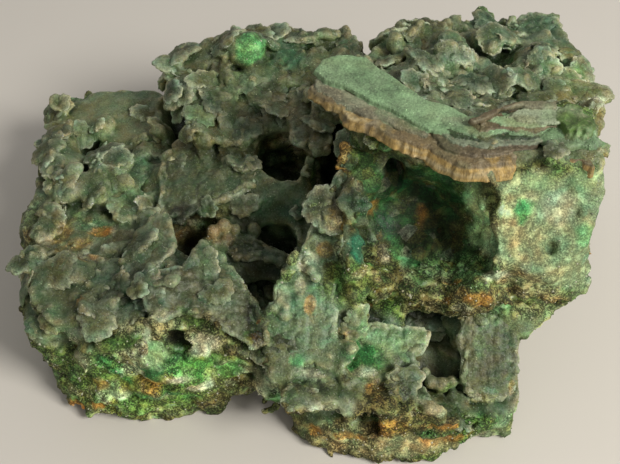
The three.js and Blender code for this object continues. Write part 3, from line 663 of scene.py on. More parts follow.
# Rounded lumps that the crust grew in, large ones first. share is how many of the spots get one on the
# crust, in the lined hollows and on broken rock. flat is how much thinner than wide a lump may be.
crustLumps = [
    {"radius": (1.5, 3.0), "sink": 0.85, "gap": 4.6, "melt": 0.5, "flat": 0.4, "share": (0.1, 0.05, 0.0)},
    {"radius": (0.9, 1.7), "sink": 0.75, "gap": 3.1, "melt": 0.3, "flat": 0.5, "share": (0.2, 0.1, 0.03)},
    {"radius": (0.5, 0.85), "sink": 0.6, "gap": 2.1, "melt": 0.2, "flat": 0.7, "share": (0.12, 0.1, 0.15)},
]

# The finer relief. Crust grows in domes, broken rock has ridges, and pits open in both where the
# noise is strongest.
fineRelief = {
    "domes": [(4.2, 0.75), (2.1, 0.32), (1.1, 0.14)],  # width and height
    "ridges": [(4.4, 1.3), (2.3, 1.3), (1.2, 1.0), (0.7, 0.6)],  # width and height
    # width, threshold, depth on crust and depth on broken rock
    "pits": [(4.2, 0.62, 2.6, 2.0), (2.4, 0.6, 1.2, 2.4)],
    "domeLevel": 0.5, "ridgeLevel": 0.3,  # noise that leaves the surface where it is
    "wobble": 0.8, "calmed": 0.6,
    "reach": 2.6,  # how far from the surface the relief is worked out
}

# Calm sheets of crust, where few lumps and shallow creases show: a place and half-lengths.
calmSpots = [
    ((-14.5, -14.5, 21), (7, 7, 5)), ((-25.4, -7, 21), (4, 7, 4)), ((-9.5, 4, 18), (9, 6, 8)),
    ((-7.8, -5.5, 12.5), (7, 5, 4)), ((-19, 7, 21), (6, 7, 4)), ((16.5, -9, 30), (9, 8, 8)),
    ((-33, 30, 17), (15, 8, 5)), ((35, -14, 31), (10, 6, 9)), ((49, 12, 30), (6, 16, 14)),
    ((20, -5, 38), (24, 9, 5)), ((-56, 0, 15), (7, 40, 30)), ((13, -22, 16), (7, 4, 7)),
    ((31, -22, 12), (6, 6, 7)), ((-1, -20, 19), (6, 8, 7)),
]


# Domes packed side by side: 1 on top of each and about 0 in the creases between them.
def domed(points, width, seed):
    draws = np.random.default_rng(grid["seed"] * 1000 + seed)
    kinds = 4096  # of cell, a power of two
    jitter = draws.uniform(0.22, 0.78, (kinds, 3)).astype(np.float32)
    at = points / np.float32(width)
    base = np.floor(at - 0.5).astype(np.int32)
    nearest = np.full(len(points), 9, np.float32)
    for corner in range(8):
        cube = base + np.array([corner & 1, corner >> 1 & 1, corner >> 2], np.int32)
        code = (cube[:, 0] * 7919 ^ cube[:, 1] * 104729 ^ cube[:, 2] * 15485863) & (kinds - 1)
        nearest = np.minimum(nearest, ((cube + jitter[code] - at) ** 2).sum(1))
    return np.clip(1 - nearest / 0.5, 0, 1)


def stamp(rock, wobble, shape):
    size = max(shape["size"])
    box, x, y, z = localBlock(fine, shape["at"], [stamps["reach"] * size + stamps["margin"]] * 3)
    distance = ellipsoidDistance(shape, x + wobble[0][box], y + wobble[1][box], z + wobble[2][box])
    melt = shape.get("melt", stamps["melt"])
    if shape.get("carve"):
        rock[box] = smoothMax(rock[box], -distance, melt)
    else:
        rock[box] = smoothMin(rock[box], distance, melt)


def addBall(rock, x, y, z, radius, melt):
    box, px, py, pz = localBlock(fine, (x, y, z), [radius + melt + 0.5] * 3)
    distance = np.sqrt((px - x) ** 2 + (py - y) ** 2 + (pz - z) ** 2) - radius
    rock[box] = smoothMin(rock[box], distance, melt)


def calmShare(x, y, z):
    share = 0 * (x + y + z)
    for centre, half in calmSpots:
        share = np.maximum(share, smoothStep(1.3, 0.6, spotDistance(x, y, z, centre, half)))
    return share


def scatterLumps(rock, wobble, crust, lined, size, draws):
    points, slope = surfaceSpots(rock, size["gap"], draws)
    onCrust, inHollow, onBroken = size["share"]
    onSkin = readAt(crust, coarse, points)
    deep = smoothStep(liningEdge, -liningEdge, readAt(lined, coarse, points))
    share = (onCrust * onSkin + onBroken * (1 - onSkin)) * (1 - deep) + inHollow * deep
    share *= 1 - 0.97 * calmShare(*points.T)
    chosen = draws.uniform(0, 1, len(points)) < share
    for place, normal in zip(points[chosen], slope[chosen]):
        radius = draws.uniform(*size["radius"])
        thin = draws.uniform(size["flat"], 1, 2)
        stamp(rock, wobble, lump(place - normal * size["sink"] * radius,
                                 (radius, radius * thin[0], radius * thin[1]), melt=size["melt"],
                                 turn=draws.uniform(0, 180), tipX=draws.uniform(-50, 50)))
    report(f"{chosen.sum()} lumps")


# How far a shingle reaches at each angle round it.
def lobedEdge(radius, angle, turns):
    middle, two, three = shingles["outline"]
    lobes = np.round(2 * math.pi * radius / shingles["lobe"])
    edge = radius * (middle + two * np.sin(2 * angle + turns[0]) + three * np.sin(3 * angle + turns[1]))
    return edge + shingles["bite"] * np.abs(np.sin(lobes / 2 * angle + turns[2] + np.sin(angle + turns[1])))


def addShingle(rock, wobble, place, facing, draws):
    plan = shingles
    radius, half = draws.uniform(*plan["radius"]), draws.uniform(*plan["half"])
    box, x, y, z = localBlock(fine, place, [1.35 * radius + 1.2] * 3)
    x, y, z = (axis + plan["wobble"] * one[box] - middle
               for axis, one, middle in zip((x, y, z), wobble, place))
    first, second = (way[0] for way in crossWays(facing[None]))
    along, across, up = (x * way[0] + y * way[1] + z * way[2] for way in (first, second, facing))
    out, angle = np.sqrt(along ** 2 + across ** 2), np.arctan2(across, along)
    turns = draws.uniform(0, 2 * math.pi, 3)
    wall = out - lobedEdge(radius, angle, turns)
    level = np.abs(up + plan["droop"] * out ** 2) - half
    rock[box] = smoothMin(rock[box], smoothMax(wall, level, plan["round"]), plan["melt"])
    return radius, half, turns


def scatterShingles(rock, wobble, crust, lined, draws):
    plan = shingles
    points, slope = surfaceSpots(rock, plan["gap"], draws)
    share = plan["share"] * readAt(crust, coarse, points) ** 2 * (1 - plan["calmed"] * calmShare(*points.T))
    for mouth in openMouths:
        share *= ellipsoidDistance(mouth, *points.T) > plan["mouthGap"]
    share *= smoothStep(-liningEdge, liningEdge, readAt(lined, coarse, points))
    chosen = draws.uniform(0, 1, len(points)) < share
    for place, normal in zip(points[chosen], slope[chosen]):
        facing = normal + plan["lift"] * np.array([0, 0, 1]) + plan["stray"] * draws.normal(0, 1, 3)
        facing /= np.linalg.norm(facing)
        if facing[2] < plan["flattest"]:
            continue
        middle = place + plan["rise"] * draws.uniform(-1, 1) * normal
        flakes.append((middle, facing, addShingle(rock, wobble, middle, facing, draws)))
    report(f"{chosen.sum()} shingles")


def addPlate(rock, wobble, plate, draws):
    plan, stray = plateEdge, plateEdge["beadStray"]
    outline = np.array(plate["outline"], float)
    low, high = outline.min(0) - plan["margin"], outline.max(0) + plan["margin"]
    heights = facePlane(plate["top"], outline[:, 0], outline[:, 1])
    centre = (*(low + high) / 2, (heights.min() + heights.max()) / 2)
    reach = (*(high - low) / 2, (heights.max() - heights.min()) / 2 + plan["headroom"])
    box, x, y, z = localBlock(fine, centre, reach)
    x, y, z = x + wobble[0][box], y + wobble[1][box], z + plan["flatter"] * wobble[2][box]
    steep = math.hypot(1, plate["top"][1], plate["top"][2])
    offset = (z - facePlane(plate["top"], x, y)) / steep + plate["thick"] / 2
    wall = planDistance(plate["outline"], x, y)
    sheet = smoothMax(wall, np.abs(offset) - plate["thick"] / 2, plan["round"])
    rock[box] = smoothMin(rock[box], sheet, plan["melt"])
    for (ax, ay), (bx, by) in zip(outline, np.roll(outline, -1, axis=0)):
        for step in np.arange(0, 1, plate["bead"] * plan["beadGap"] / math.hypot(bx - ax, by - ay)):
            beadX, beadY = ax + (bx - ax) * step, ay + (by - ay) * step
            size = plate["bead"] * draws.uniform(*plan["beadSize"])
            height = facePlane(plate["top"], beadX, beadY) - plate["thick"] * 0.5
            height = height + draws.uniform(*plan["beadRise"])
            beadX, beadY = beadX + draws.uniform(-stray, stray), beadY + draws.uniform(-stray, stray)
            addBall(rock, beadX, beadY, height, size, plan["beadMelt"])


# Index of the first point in each cube.
def firstInCube(cube):
    return np.unique(cube @ np.array([1, 4096, 4096 * 4096]), return_index=True)[1]


# Grid samples just under the surface, no two in one cube of the given gap, with the slope there.
def surfaceSpots(rock, gap, draws):
    spots = np.argwhere(np.abs(rock[1:-1, 1:-1, 1:-1]) < grid["voxel"] * 0.55).astype(np.int32) + 1
    spots = spots[draws.permutation(len(spots))]
    cube = (spots * grid["voxel"] / gap + draws.uniform(0, 1, 3)).astype(np.int64)
    spots = spots[np.sort(firstInCube(cube))]
    i, j, k = spots.T
    slope = np.stack([rock[i + 1, j, k] - rock[i - 1, j, k], rock[i, j + 1, k] - rock[i, j - 1, k],
                      rock[i, j, k + 1] - rock[i, j, k - 1]], 1)
    slope /= np.maximum(np.linalg.norm(slope, axis=1, keepdims=True), 1e-6)
    points = np.stack([fine[0][i], fine[1][j], fine[2][k]], 1)
    return points, slope


# The samples' value at any point, blended from the eight samples round it.
def readAt(samples, axes, points):
    low = np.array([axis[0] for axis in axes])
    spacing = np.array([axis[1] - axis[0] for axis in axes])
    at = np.clip((points - low) / spacing, 0, np.array(samples.shape) - 1.001)
    base = at.astype(int)
    t = at - base
    value = np.zeros(len(points))
    for corner in range(8):
        bits = np.array([corner & 1, corner >> 1 & 1, corner >> 2])
        i, j, k = (base + bits).T
        value += samples[i, j, k] * np.prod(np.where(bits, t, 1 - t), axis=1)
    return value


# Share of solid rock in a box of samples round every sample, reach samples each way.
def solidShare(inside, reach):
    share = inside.astype(np.float32)
    for axis in range(3):
        share = np.moveaxis(share, axis, 0)
        padded = np.concatenate([np.repeat(share[:1], reach + 1, 0), share, np.repeat(share[-1:], reach, 0)])
        total = np.cumsum(padded, axis=0, dtype=np.float32)
        share = np.moveaxis((total[2 * reach + 1:] - total[:-2 * reach - 1]) / (2 * reach + 1), 0, axis)
    return share


# Fills the nearest sample wherever the surface would touch itself along an edge or at a point.
def closePinches(rock):
    corners = [(c & 1, c >> 1 & 1, c >> 2) for c in range(8)]
    broken = np.zeros(256, bool)
    for code in range(256):
        for side in (0, 1):
            left = {c for c in range(8) if (code >> c & 1) == side}
            queue = [left.pop()] if left else []
            while queue:
                c = queue.pop()
                for bit in (1, 2, 4):
                    if c ^ bit in left:
                        left.remove(c ^ bit)
                        queue.append(c ^ bit)
            broken[code] |= bool(left)
    for _ in range(40):  # filling one pinch may make another
        code = cellCodes(rock < 0)
        cells = np.argwhere(broken[code])
        if not len(cells):
            break
        values = np.stack([rock[tuple((cells + corner).T)] for corner in corners], 1)
        values[values < 0] = far
        nearest = cells + np.array(corners)[values.argmin(1)]
        rock[tuple(nearest.T)] = -0.03  # just inside


def cellCodes(inside):
    shape = tuple(n - 1 for n in inside.shape)
    code = np.zeros(shape, np.uint8)
    for c in range(8):
        dx, dy, dz = c & 1, c >> 1 & 1, c >> 2
        code |= inside[dx:dx + shape[0], dy:dy + shape[1], dz:dz + shape[2]].astype(np.uint8) << c
    return code


# One point in each cell that the surface crosses, and a four-sided face round each crossed grid edge.
def netSurface(rock, axes):
    inside = rock < 0
    code = cellCodes(inside)
    cells = np.argwhere((code > 0) & (code < 255))
    number = np.full(code.shape, -1, np.int32)
    number[tuple(cells.T)] = np.arange(len(cells))
    total = np.zeros((len(cells), 3))
    crossings = np.zeros(len(cells))
    for c in range(8):
        start = np.array([c & 1, c >> 1 & 1, c >> 2])
        for axis in range(3):
            if start[axis]:
                continue
            end = start.copy()
            end[axis] = 1
            a, b = rock[tuple((cells + start).T)], rock[tuple((cells + end).T)]
            crossed = (a < 0) != (b < 0)
            share = np.where(crossed, a / np.where(crossed, a - b, 1), 0)
            total += crossed[:, None] * start
            total[:, axis] += share * crossed
            crossings += crossed
    points = cells + total / crossings[:, None]
    points = points * (axes[0][1] - axes[0][0]) + np.array([axis[0] for axis in axes])
    faces = []
    for axis in range(3):
        low = [slice(1, -1)] * 3
        high = list(low)
        low[axis], high[axis] = slice(0, -1), slice(1, None)
        a, b = inside[tuple(low)], inside[tuple(high)]
        at = np.argwhere(a != b) + np.array([0 if n == axis else 1 for n in range(3)])
        u, v = np.eye(3, dtype=int)[(axis + 1) % 3], np.eye(3, dtype=int)[(axis + 2) % 3]
        ring = np.stack([number[tuple((at - shift).T)] for shift in (u + v, v, 0 * u, u)], 1)
        flip = ~inside[tuple(at.T)]
        ring[flip] = ring[flip][:, ::-1]
        faces.append(ring)
    return points, np.concatenate(faces)


# Keeps only the largest connected part of a mesh, so no loose crumb or sealed bubble is left.
def largestPart(points, faces):
    label = np.arange(len(points))
    while True:
        lowest = label[faces].min(1)
        before = label.copy()
        for column in range(faces.shape[1]):
            np.minimum.at(label, faces[:, column], lowest)
        label = label[label]
        if (label == before).all():
            break
    main = np.bincount(label).argmax()
    keep = label == main
    renumber = np.cumsum(keep) - 1
    return points[keep], renumber[faces[keep[faces[:, 0]]]]


def newMesh(name, points, faces):
    mesh = bpy.data.meshes.new(name)
    mesh.vertices.add(len(points))
    mesh.vertices.foreach_set("co", np.asarray(points * mm, np.float32).ravel())
    sides = faces.shape[1]
    mesh.loops.add(faces.size)
    mesh.loops.foreach_set("vertex_index", faces.astype(np.int32).ravel())
    mesh.polygons.add(len(faces))
    mesh.polygons.foreach_set("loop_start", np.arange(0, faces.size, sides, dtype=np.int32))
    mesh.polygons.foreach_set("loop_total", np.full(len(faces), sides, np.int32))
    mesh.update(calc_edges=True)
    piece = bpy.data.objects.new(name, mesh)
    bpy.context.collection.objects.link(piece)
    return piece


# Thins a mesh to a share of its faces and gives the new mesh.
def thinned(piece, share):
    thin = piece.modifiers.new("thin", "DECIMATE")
    thin.ratio = min(1, share)
    evaluated = piece.evaluated_get(bpy.context.evaluated_depsgraph_get())
    mesh = bpy.data.meshes.new_from_object(evaluated)
    piece.modifiers.clear()
    old, piece.data = piece.data, mesh
    bpy.data.meshes.remove(old)
    mesh.shade_smooth()
    return mesh


# The mesh of a field of distances, closed, in triangles and thinned to the given number of them.
def meshedField(name, samples, axes, triangles):
    closePinches(samples)
    points, faces = largestPart(*netSurface(samples, axes))
    points[np.abs(points[:, 2]) < 1e-3, 2] = 0  # the rest face lies flat
    piece = newMesh(name, points, faces)
    piece.modifiers.new("triangles", "TRIANGULATE")
    mesh = thinned(piece, triangles / (2 * len(faces)))
    report(f"{name}: {2 * len(faces)} triangles, thinned to {len(mesh.polygons)}")
    return piece


def meshPoints(piece):
    points = np.empty(len(piece.data.vertices) * 3, np.float32)
    piece.data.vertices.foreach_get("co", points)
    return points.reshape(-1, 3) / mm


def meshNormals(piece):
    normals = np.empty(len(piece.data.vertices) * 3, np.float32)
    piece.data.vertex_normals.foreach_get("vector", normals)
    return normals.reshape(-1, 3)


def meshTriangles(piece):
    corners = np.empty(len(piece.data.loops), np.int32)
    piece.data.loops.foreach_get("vertex_index", corners)
    return corners.reshape(-1, 3)


# One number or one colour for each point of a piece, for its finish to read.
def addAttribute(piece, name, values):
    if values.ndim == 2:
        values = np.concatenate([values, np.ones((len(values), 1))], 1)
        made = piece.data.attributes.new(name, "FLOAT_COLOR", "POINT")
        made.data.foreach_set("color", values.astype(np.float32).ravel())
    else:
        made = piece.data.attributes.new(name, "FLOAT", "POINT")
        made.data.foreach_set("value", values.astype(np.float32))


def dress(piece, paint, finish):
    for name, values in paint.items():
        addAttribute(piece, name, values)
    piece.data.materials.append(finish)


def sculptRock(broad, lined, crust):
    draws = np.random.default_rng(grid["seed"])
    rock = toFine(broad) + skinDepth
    wobble = bends(fine)
    for shape in relief.values():
        stamp(rock, wobble, shape)
    for plate in crustPlates.values():
        addPlate(rock, wobble, plate, draws)
    report("relief set by hand")
    scatterShingles(rock, wobble, crust, lined, draws)
    for size in crustLumps:
        scatterLumps(rock, wobble, crust, lined, size, draws)
    plan = fineRelief
    near = np.flatnonzero(np.abs(rock) < plan["reach"])
    i, j, k = np.unravel_index(near, rock.shape)
    points = np.stack([fine[0][i], fine[1][j], fine[2][k]], 1)
    points += plan["wobble"] * np.stack([one.ravel()[near] for one in wobble], 1)
    skin, calm = toFine(crust).ravel()[near], 1 - plan["calmed"] * calmShare(*points.T)
    onCrust, onBroken = np.zeros(len(near), np.float32), np.zeros(len(near), np.float32)
    for seed, (width, height) in enumerate(plan["domes"]):
        onCrust += height * (domed(points, width, 60 + seed) - plan["domeLevel"])
    for seed, (width, height) in enumerate(plan["ridges"]):
        onBroken += height * (np.abs(gridNoise(fine, width, 66 + seed)).ravel()[near] - plan["ridgeLevel"])
    rise = calm * (onCrust * skin + onBroken * (1 - skin))
    for seed, (width, threshold, depthCrust, depthBroken) in enumerate(plan["pits"]):
        depth = depthBroken + (depthCrust - depthBroken) * skin
        rise -= 2 * depth * np.maximum(gridNoise(fine, width, 70 + seed).ravel()[near] - threshold, 0)
    rock.ravel()[near] -= rise
    for mouth in openMouths:
        stamp(rock, wobble, dict(mouth, melt=1.0))
    for knob in strayKnobs:
        stamp(rock, wobble, knob)
    for x, y, z, radius in silicaBalls:
        addBall(rock, x, y, z, radius, 0.2)
    report("lumps, creases and pits")
    return np.maximum(rock, -fine[2][None, None, :])


# A crisp skin for every shingle: rings of points round its lobed edge, closed above and below.
crustFlakes = {
    "spokes": 40,
    # share of the radius and of the half thickness at each ring, from the top's middle to the underside's
    "rings": [(0, 1), (0.4, 1), (0.75, 1), (0.93, 0.46), (1.0, 0.25), (0.8, -0.9), (0, -1)],
    "grow": 1.05, "raise": 0.12, "bump": 0.16, "ripples": (3.1, 3.4),
    "clear": 0.75,  # share of the radius that stays clear of a dark mouth
    # The pale edge is partly the crust's own pale rim, partly painted light through the thin edge.
    "paleFrom": 0.62, "paleTo": 0.95,  # where the edge turns pale, in shares of the radius
    "kinds": {"druse": 5, "blue druse": 4, "olive": 3, "gray": 3, "mint": 2, "pale": 1, "dark": 2},
    "lighter": (0.35, 1.25),
}


def makeFlakes():
    draws = np.random.default_rng(grid["seed"] + 3)
    plan, spokes = crustFlakes, crustFlakes["spokes"]
    places, facings, shapes = zip(*flakes)
    radius, half, turns = (np.array([shape[n] for shape in shapes]) for n in range(3))
    places, facings = np.array(places), np.array(facings)
    clear = np.ones(len(places), bool)
    for mouth in openMouths:
        reach = np.array(mouth["size"][:2]) + plan["clear"] * radius[:, None]
        away = (places[:, :2] - np.array(mouth["at"][:2])) / reach
        clear &= (away ** 2).sum(1) > 1
    places, facings, radius, half, turns = (one[clear] for one in (places, facings, radius, half, turns))
    first, second = crossWays(facings)
    angle = (np.arange(spokes) * 2 * math.pi / spokes)[None]
    turns = [turns[:, n:n + 1] for n in range(3)]
    edge = lobedEdge(radius[:, None], angle, turns) * plan["grow"]
    rings, rims = [], []
    for share, level in plan["rings"]:
        out = edge * share
        along, across = out * np.cos(angle), out * np.sin(angle)
        up = half[:, None] * level - shingles["droop"] * out ** 2 + plan["raise"]
        spot = places[:, None] + along[..., None] * first[:, None] + across[..., None] * second[:, None]
        if level > 0:
            ripples = [np.sin(often * spot[..., n] + turns[n]) for n, often in enumerate(plan["ripples"])]
            up = up + plan["bump"] * (ripples[0] + ripples[1])
        spot = spot + up[..., None] * facings[:, None]
        rings.append(spot if share else spot.mean(1, keepdims=True))
        rims.append(np.full(rings[-1].shape[:2], smoothStep(plan["paleFrom"], plan["paleTo"], share)))
    points, rim = np.concatenate(rings, 1), np.concatenate(rims, 1)
    faces, count = [], len(plan["rings"]) - 2
    for n in range(spokes):
        m = (n + 1) % spokes
        faces.append((0, 1 + n, 1 + m))
        for ring in range(count - 1):
            low, high = 1 + ring * spokes, 1 + (ring + 1) * spokes
            faces += [(low + n, high + n, high + m), (low + n, high + m, low + m)]
        last = 1 + (count - 1) * spokes
        faces.append((last + n, last + spokes, last + m))
    faces = np.array(faces)[None] + points.shape[1] * np.arange(len(places))[:, None, None]
    piece = newMesh("crustFlakes", points.reshape(-1, 3), faces.reshape(-1, 3))
    piece.data.shade_smooth()
    chance = np.array(list(plan["kinds"].values()))
    names = draws.choice(list(plan["kinds"]), len(places), p=chance / chance.sum())
    tones = np.array([toneOf(name) for name in names]) * draws.uniform(*plan["lighter"], (len(places), 1))
    report(f"crustFlakes: {len(places)} flakes")
    return piece, rim.ravel(), np.repeat(tones, points.shape[1], axis=0)


# The named sheets again on a finer grid, for crisp scalloped edges.
sheetGrid = {
    "voxel": 0.22, "triangles": 92000,
    "scallops": [(1.5, 0.5), (0.75, 0.22)],  # width and depth
    "bumps": [(2.4, 0.3), (1.2, 0.26), (0.6, 0.12)],  # width and height
    "lift": 0.16, "grow": 0.5, "round": 0.5,
    "curl": 0.35, "curlWidth": 2.2,  # how far the edge turns down, and how wide that edge is
    "margin": 1.6, "below": 3, "above": 2,  # samples looked at round a sheet
}


def makeSheets():
    made = []
    for plate in crustPlates.values():
        outline = np.array(plate["outline"], float)
        low, high = outline.min(0) - sheetGrid["margin"], outline.max(0) + sheetGrid["margin"]
        heights = facePlane(plate["top"], outline[:, 0], outline[:, 1])
        low, high = (*low, heights.min() - sheetGrid["below"]), (*high, heights.max() + sheetGrid["above"])
        axes = axisPoints(low, high, sheetGrid["voxel"])
        x, y, z = np.meshgrid(*axes, indexing="ij")
        bend = bends(axes)
        level = z + plateEdge["flatter"] * bend[2] - facePlane(plate["top"], x + bend[0], y + bend[1])
        level = level / math.hypot(1, plate["top"][1], plate["top"][2]) + plate["thick"] / 2
        wall = planDistance(plate["outline"], x + bend[0], y + bend[1]) - sheetGrid["grow"]
        for seed, (width, depth) in enumerate(sheetGrid["scallops"]):
            wall += depth * (np.abs(gridNoise(axes, width, 100 + seed)) * 1.6 - 0.5)
        near = np.flatnonzero((np.abs(level) < 2) & (wall < 1.5))
        spots = np.stack([x.ravel()[near], y.ravel()[near], z.ravel()[near]], 1)
        rise = np.zeros(len(near), np.float32)
        for seed, (width, height) in enumerate(sheetGrid["bumps"]):
            rise += height * (domed(spots, width, 110 + seed) - 0.4)
        thick = np.full(x.shape, plate["thick"] / 2 + sheetGrid["lift"], np.float32)
        thick.ravel()[near] += rise
        edge = smoothStep(-sheetGrid["curlWidth"], 0, wall)
        faces = np.maximum(level + sheetGrid["curl"] * edge - thick, -level - plate["thick"] * 0.5)
        field = smoothMax(wall, faces, sheetGrid["round"])
        closePinches(field)
        points, faces = largestPart(*netSurface(field, axes))
        faces = np.concatenate([faces[:, [0, 1, 2]], faces[:, [0, 2, 3]]])
        tone = np.tile(toneOf(plate["finish"]), (len(points), 1))
        made.append((points, faces, readAt(wall, axes, points), tone))
    starts = np.cumsum([0] + [len(one[0]) for one in made])
    points, rim, tone = (np.concatenate([one[n] for one in made]) for n in (0, 2, 3))
    faces = np.concatenate([one[1] + start for one, start in zip(made, starts)])
    piece = newMesh("crustSheets", points, faces)
    addAttribute(piece, "rim", smoothStep(-0.9, -0.1, rim))
    addAttribute(piece, "own", tone)
    mesh = thinned(piece, sheetGrid["triangles"] / len(faces))
    rim, tone = np.empty(len(mesh.vertices), np.float32), np.empty(4 * len(mesh.vertices), np.float32)
    mesh.attributes["rim"].data.foreach_get("value", rim)
    mesh.attributes["own"].data.foreach_get("color", tone)
    report(f"crustSheets: {len(faces)} triangles, thinned to {len(mesh.polygons)}")
    return piece, rim, tone.reshape(-1, 4)[:, :3]


# Thin leaves of the ledge, from the thick gold-brown fibrous one up. Each has a plan outline between
# two sloping faces. lean is how far its wall spreads for each millimetre down.
ledgeLeaves = [
    {"finish": "gold", "lean": 0.4, "fibre": 0.4, "top": (41.9, 0, 0), "bottom": (40.5, 0, 0),
     "outline": [(0, 6.9), (1.1, 8.3), (3.1, 7.8), (5.5, 6.4), (6.3, 3.7), (5.1, 2.6), (3, 3.7),
                 (1.2, 5.1)]},
    {"finish": "gold", "lean": 0.5, "fibre": 0.45, "top": (41.5, 0, 0), "bottom": (40.4, -0.06, 0),
     "outline": [(5.1, 3), (7.8, 4.8), (12.3, 3), (16.2, 0), (19.8, -2.1), (18.7, -4.4), (17.3, -5.6),
                 (15.5, -5.1), (13, -3.3), (10.2, -1.4), (7.4, -0.1), (5.6, 0.5)]},
    {"finish": "gold", "lean": 0.5, "fibre": 0.42, "top": (41.4, 0, 0), "bottom": (38.9, 0, 0),
     "outline": [(16.6, -2.8), (20, -0.2), (27.8, -1.1), (33.2, -3.2), (32.5, -5.9), (31.8, -7.6),
                 (28.8, -8.5), (25.3, -9.1), (22.4, -9.8), (20.8, -9.4), (19.3, -7.9), (17.4, -6.1)]},
    {"finish": "gold", "lean": 0.3, "fibre": 0.42, "top": (41.6, 0, 0), "bottom": (39.3, 0, 0),
     "outline": [(34, -6.4), (35.4, -4.2), (40.3, -5.5), (40.1, -7.9), (39.5, -9.2), (37.4, -8.9),
                 (35.4, -8.4), (34, -8)]},
    {"finish": "strip", "lean": 0.3, "fibre": 0.3, "top": (42, 0, 0.03), "bottom": (41.3, 0, 0),
     "outline": [(0.6, 8.5), (2.7, 7.6), (5.1, 6.6), (7.8, 4.4), (10.4, 2.8), (13, 1.1), (15.5, -0.9),
                 (17.6, -2.6), (16.6, -3.6), (14.4, -2.4), (11.6, -0.6), (8.6, 1), (5.8, 2.4),
                 (3.4, 4.2), (1.2, 6)]},
    {"finish": "slab", "lean": 0.3, "fibre": 0.14, "top": (42.7, 0, 0.07), "bottom": (41.9, 0, 0.04),
     "outline": [(0.6, 9.2), (1.9, 11.6), (4.4, 12.7), (8.4, 11.8), (10.8, 9.2), (13.8, 6.2),
                 (16.9, 3.4), (20, 1.9), (22.2, 0.6), (24.3, -1.3), (22.4, -3.4), (19.8, -3.4), (17, -3),
                 (14.6, -0.9), (11.9, 1.2), (8.9, 2.7), (6.9, 4.4), (4.8, 6.2), (2.4, 7.3)]},
    {"finish": "umber", "lean": 0.4, "fibre": 0.35, "top": (41.9, 0, 0), "bottom": (41.2, 0, 0),
     "outline": [(17.4, -2.6), (20.4, -1.3), (27.7, -1.3), (33.4, -3), (32.4, -6.4), (29.8, -7.2),
                 (26.9, -7.5), (23.8, -7.8), (21.2, -7.3), (19.1, -5.9)]},
    {"finish": "leaf", "lean": 0.3, "fibre": 0.3, "top": (42.2, 0, 0), "bottom": (41.8, 0, 0),
     "outline": [(18, -2.1), (23.4, -0.1), (30.9, 1.2), (36.4, -1), (34, -4.9), (31.2, -6.2), (28.1, -6),
                 (24.9, -6.7), (21.9, -5.9), (19.8, -4.3)]},
    {"finish": "dark", "lean": 0.3, "fibre": 0.3, "top": (42.5, 0, 0), "bottom": (42.1, 0, 0),
     "outline": [(18.8, -1.7), (24.9, 0.2), (32.4, 1.3), (36.7, -0.4), (34.3, -4.2), (31.6, -5),
                 (28.2, -5.3), (24.2, -5.4), (20.9, -3.9)]},
    {"finish": "slab", "lean": 0.3, "fibre": 0.3, "top": (42.75, 0, 0.02), "bottom": (42.35, 0, 0),
     "outline": [(19.7, -1.3), (25.4, 0.4), (32.3, 1.5), (36.5, 0.2), (34.1, -3.4), (31.4, -4.8),
                 (27.9, -4.5), (24, -4.9), (21.3, -3.2)]},
    {"finish": "umber", "lean": 0.3, "fibre": 0.35, "top": (42.95, 0, 0), "bottom": (42.6, 0, 0),
     "outline": [(23.2, -1.2), (27.8, 0.8), (33.8, 1.6), (36.8, 0.3), (35.3, -2.9), (32, -4.2),
                 (28.3, -3.9), (24.5, -3.6)]},
    {"finish": "mint", "lean": 0.4, "fibre": 0.3, "top": (43.2, 0, 0), "bottom": (42.8, 0, 0),
     "outline": [(25.6, -1.6), (29.4, 0.3), (33.3, 1), (35.2, 0.1), (33.9, -3), (30.3, -3.6),
                 (27.4, -3.1)]},
    {"finish": "pale", "lean": 0.5, "fibre": 0.3, "top": (43.6, 0, 0), "bottom": (43, 0, 0),
     "outline": [(28, -1.5), (29.6, 0.2), (33, 0.8), (36.6, 0.1), (36.8, -2), (35.1, -3), (32.3, -2.7),
                 (29.8, -2.6)]},
    {"finish": "umber", "lean": 0.2, "fibre": 0.3, "top": (44, 0, 0), "bottom": (43.1, 0, 0),
     "outline": [(23.2, -2.6), (24.7, -1.2), (26.6, 0.1), (28.8, 0.9), (31.2, 1.5), (33.5, 1.4),
                 (35.5, 0.9), (35.2, 0.1), (33.3, 0.2), (31, 0.2), (28.6, -0.3), (26.7, -1.2),
                 (25.2, -2.2)]},
    {"finish": "moss", "lean": 0.3, "fibre": 0.7, "top": (43.8, 0, 0), "bottom": (41.5, 0, 0),
     "outline": [(36.2, -0.5), (37.3, 1), (38.8, 1), (39.9, -0.5), (40.1, -2.2), (39.4, -4),
                 (37.9, -4.6), (36.3, -4), (35.9, -2.6)]},
    {"finish": "slab", "lean": 0.4, "fibre": 0.5, "top": (42.6, 0, 0), "bottom": (41.4, 0, 0),
     "outline": [(32.6, -4.1), (34.9, -2.5), (36.9, -2.9), (40.3, -2.9), (40.5, -5), (39.6, -6.7),
                 (38.6, -5.9), (36.2, -6.8), (33.7, -6.2)]},
]

ledgeGrid = {
    "low": (-1, -14, 37.6), "high": (45, 15, 45), "voxel": 0.18, "triangles": 70000,
    # noises, each with bump widths and height
    "bend": [(4.5, 1.0), (1.8, 0.5)],
    "fibre": [((0.5, 0.5, 5), 1.0), ((1.2, 1.2, 3), 0.6)],
    "layering": [((4, 4, 0.45), 1.0)],
    "rise": [((5, 5, 40), 0.3)],
    "patchWidth": (2.4, 1.6, 1.2),
    "patches": [("pale", 0.4), ("olive", 0.5), ("umber", 0.35), ("mint", 0.4), ("dark", 0.4)],
}


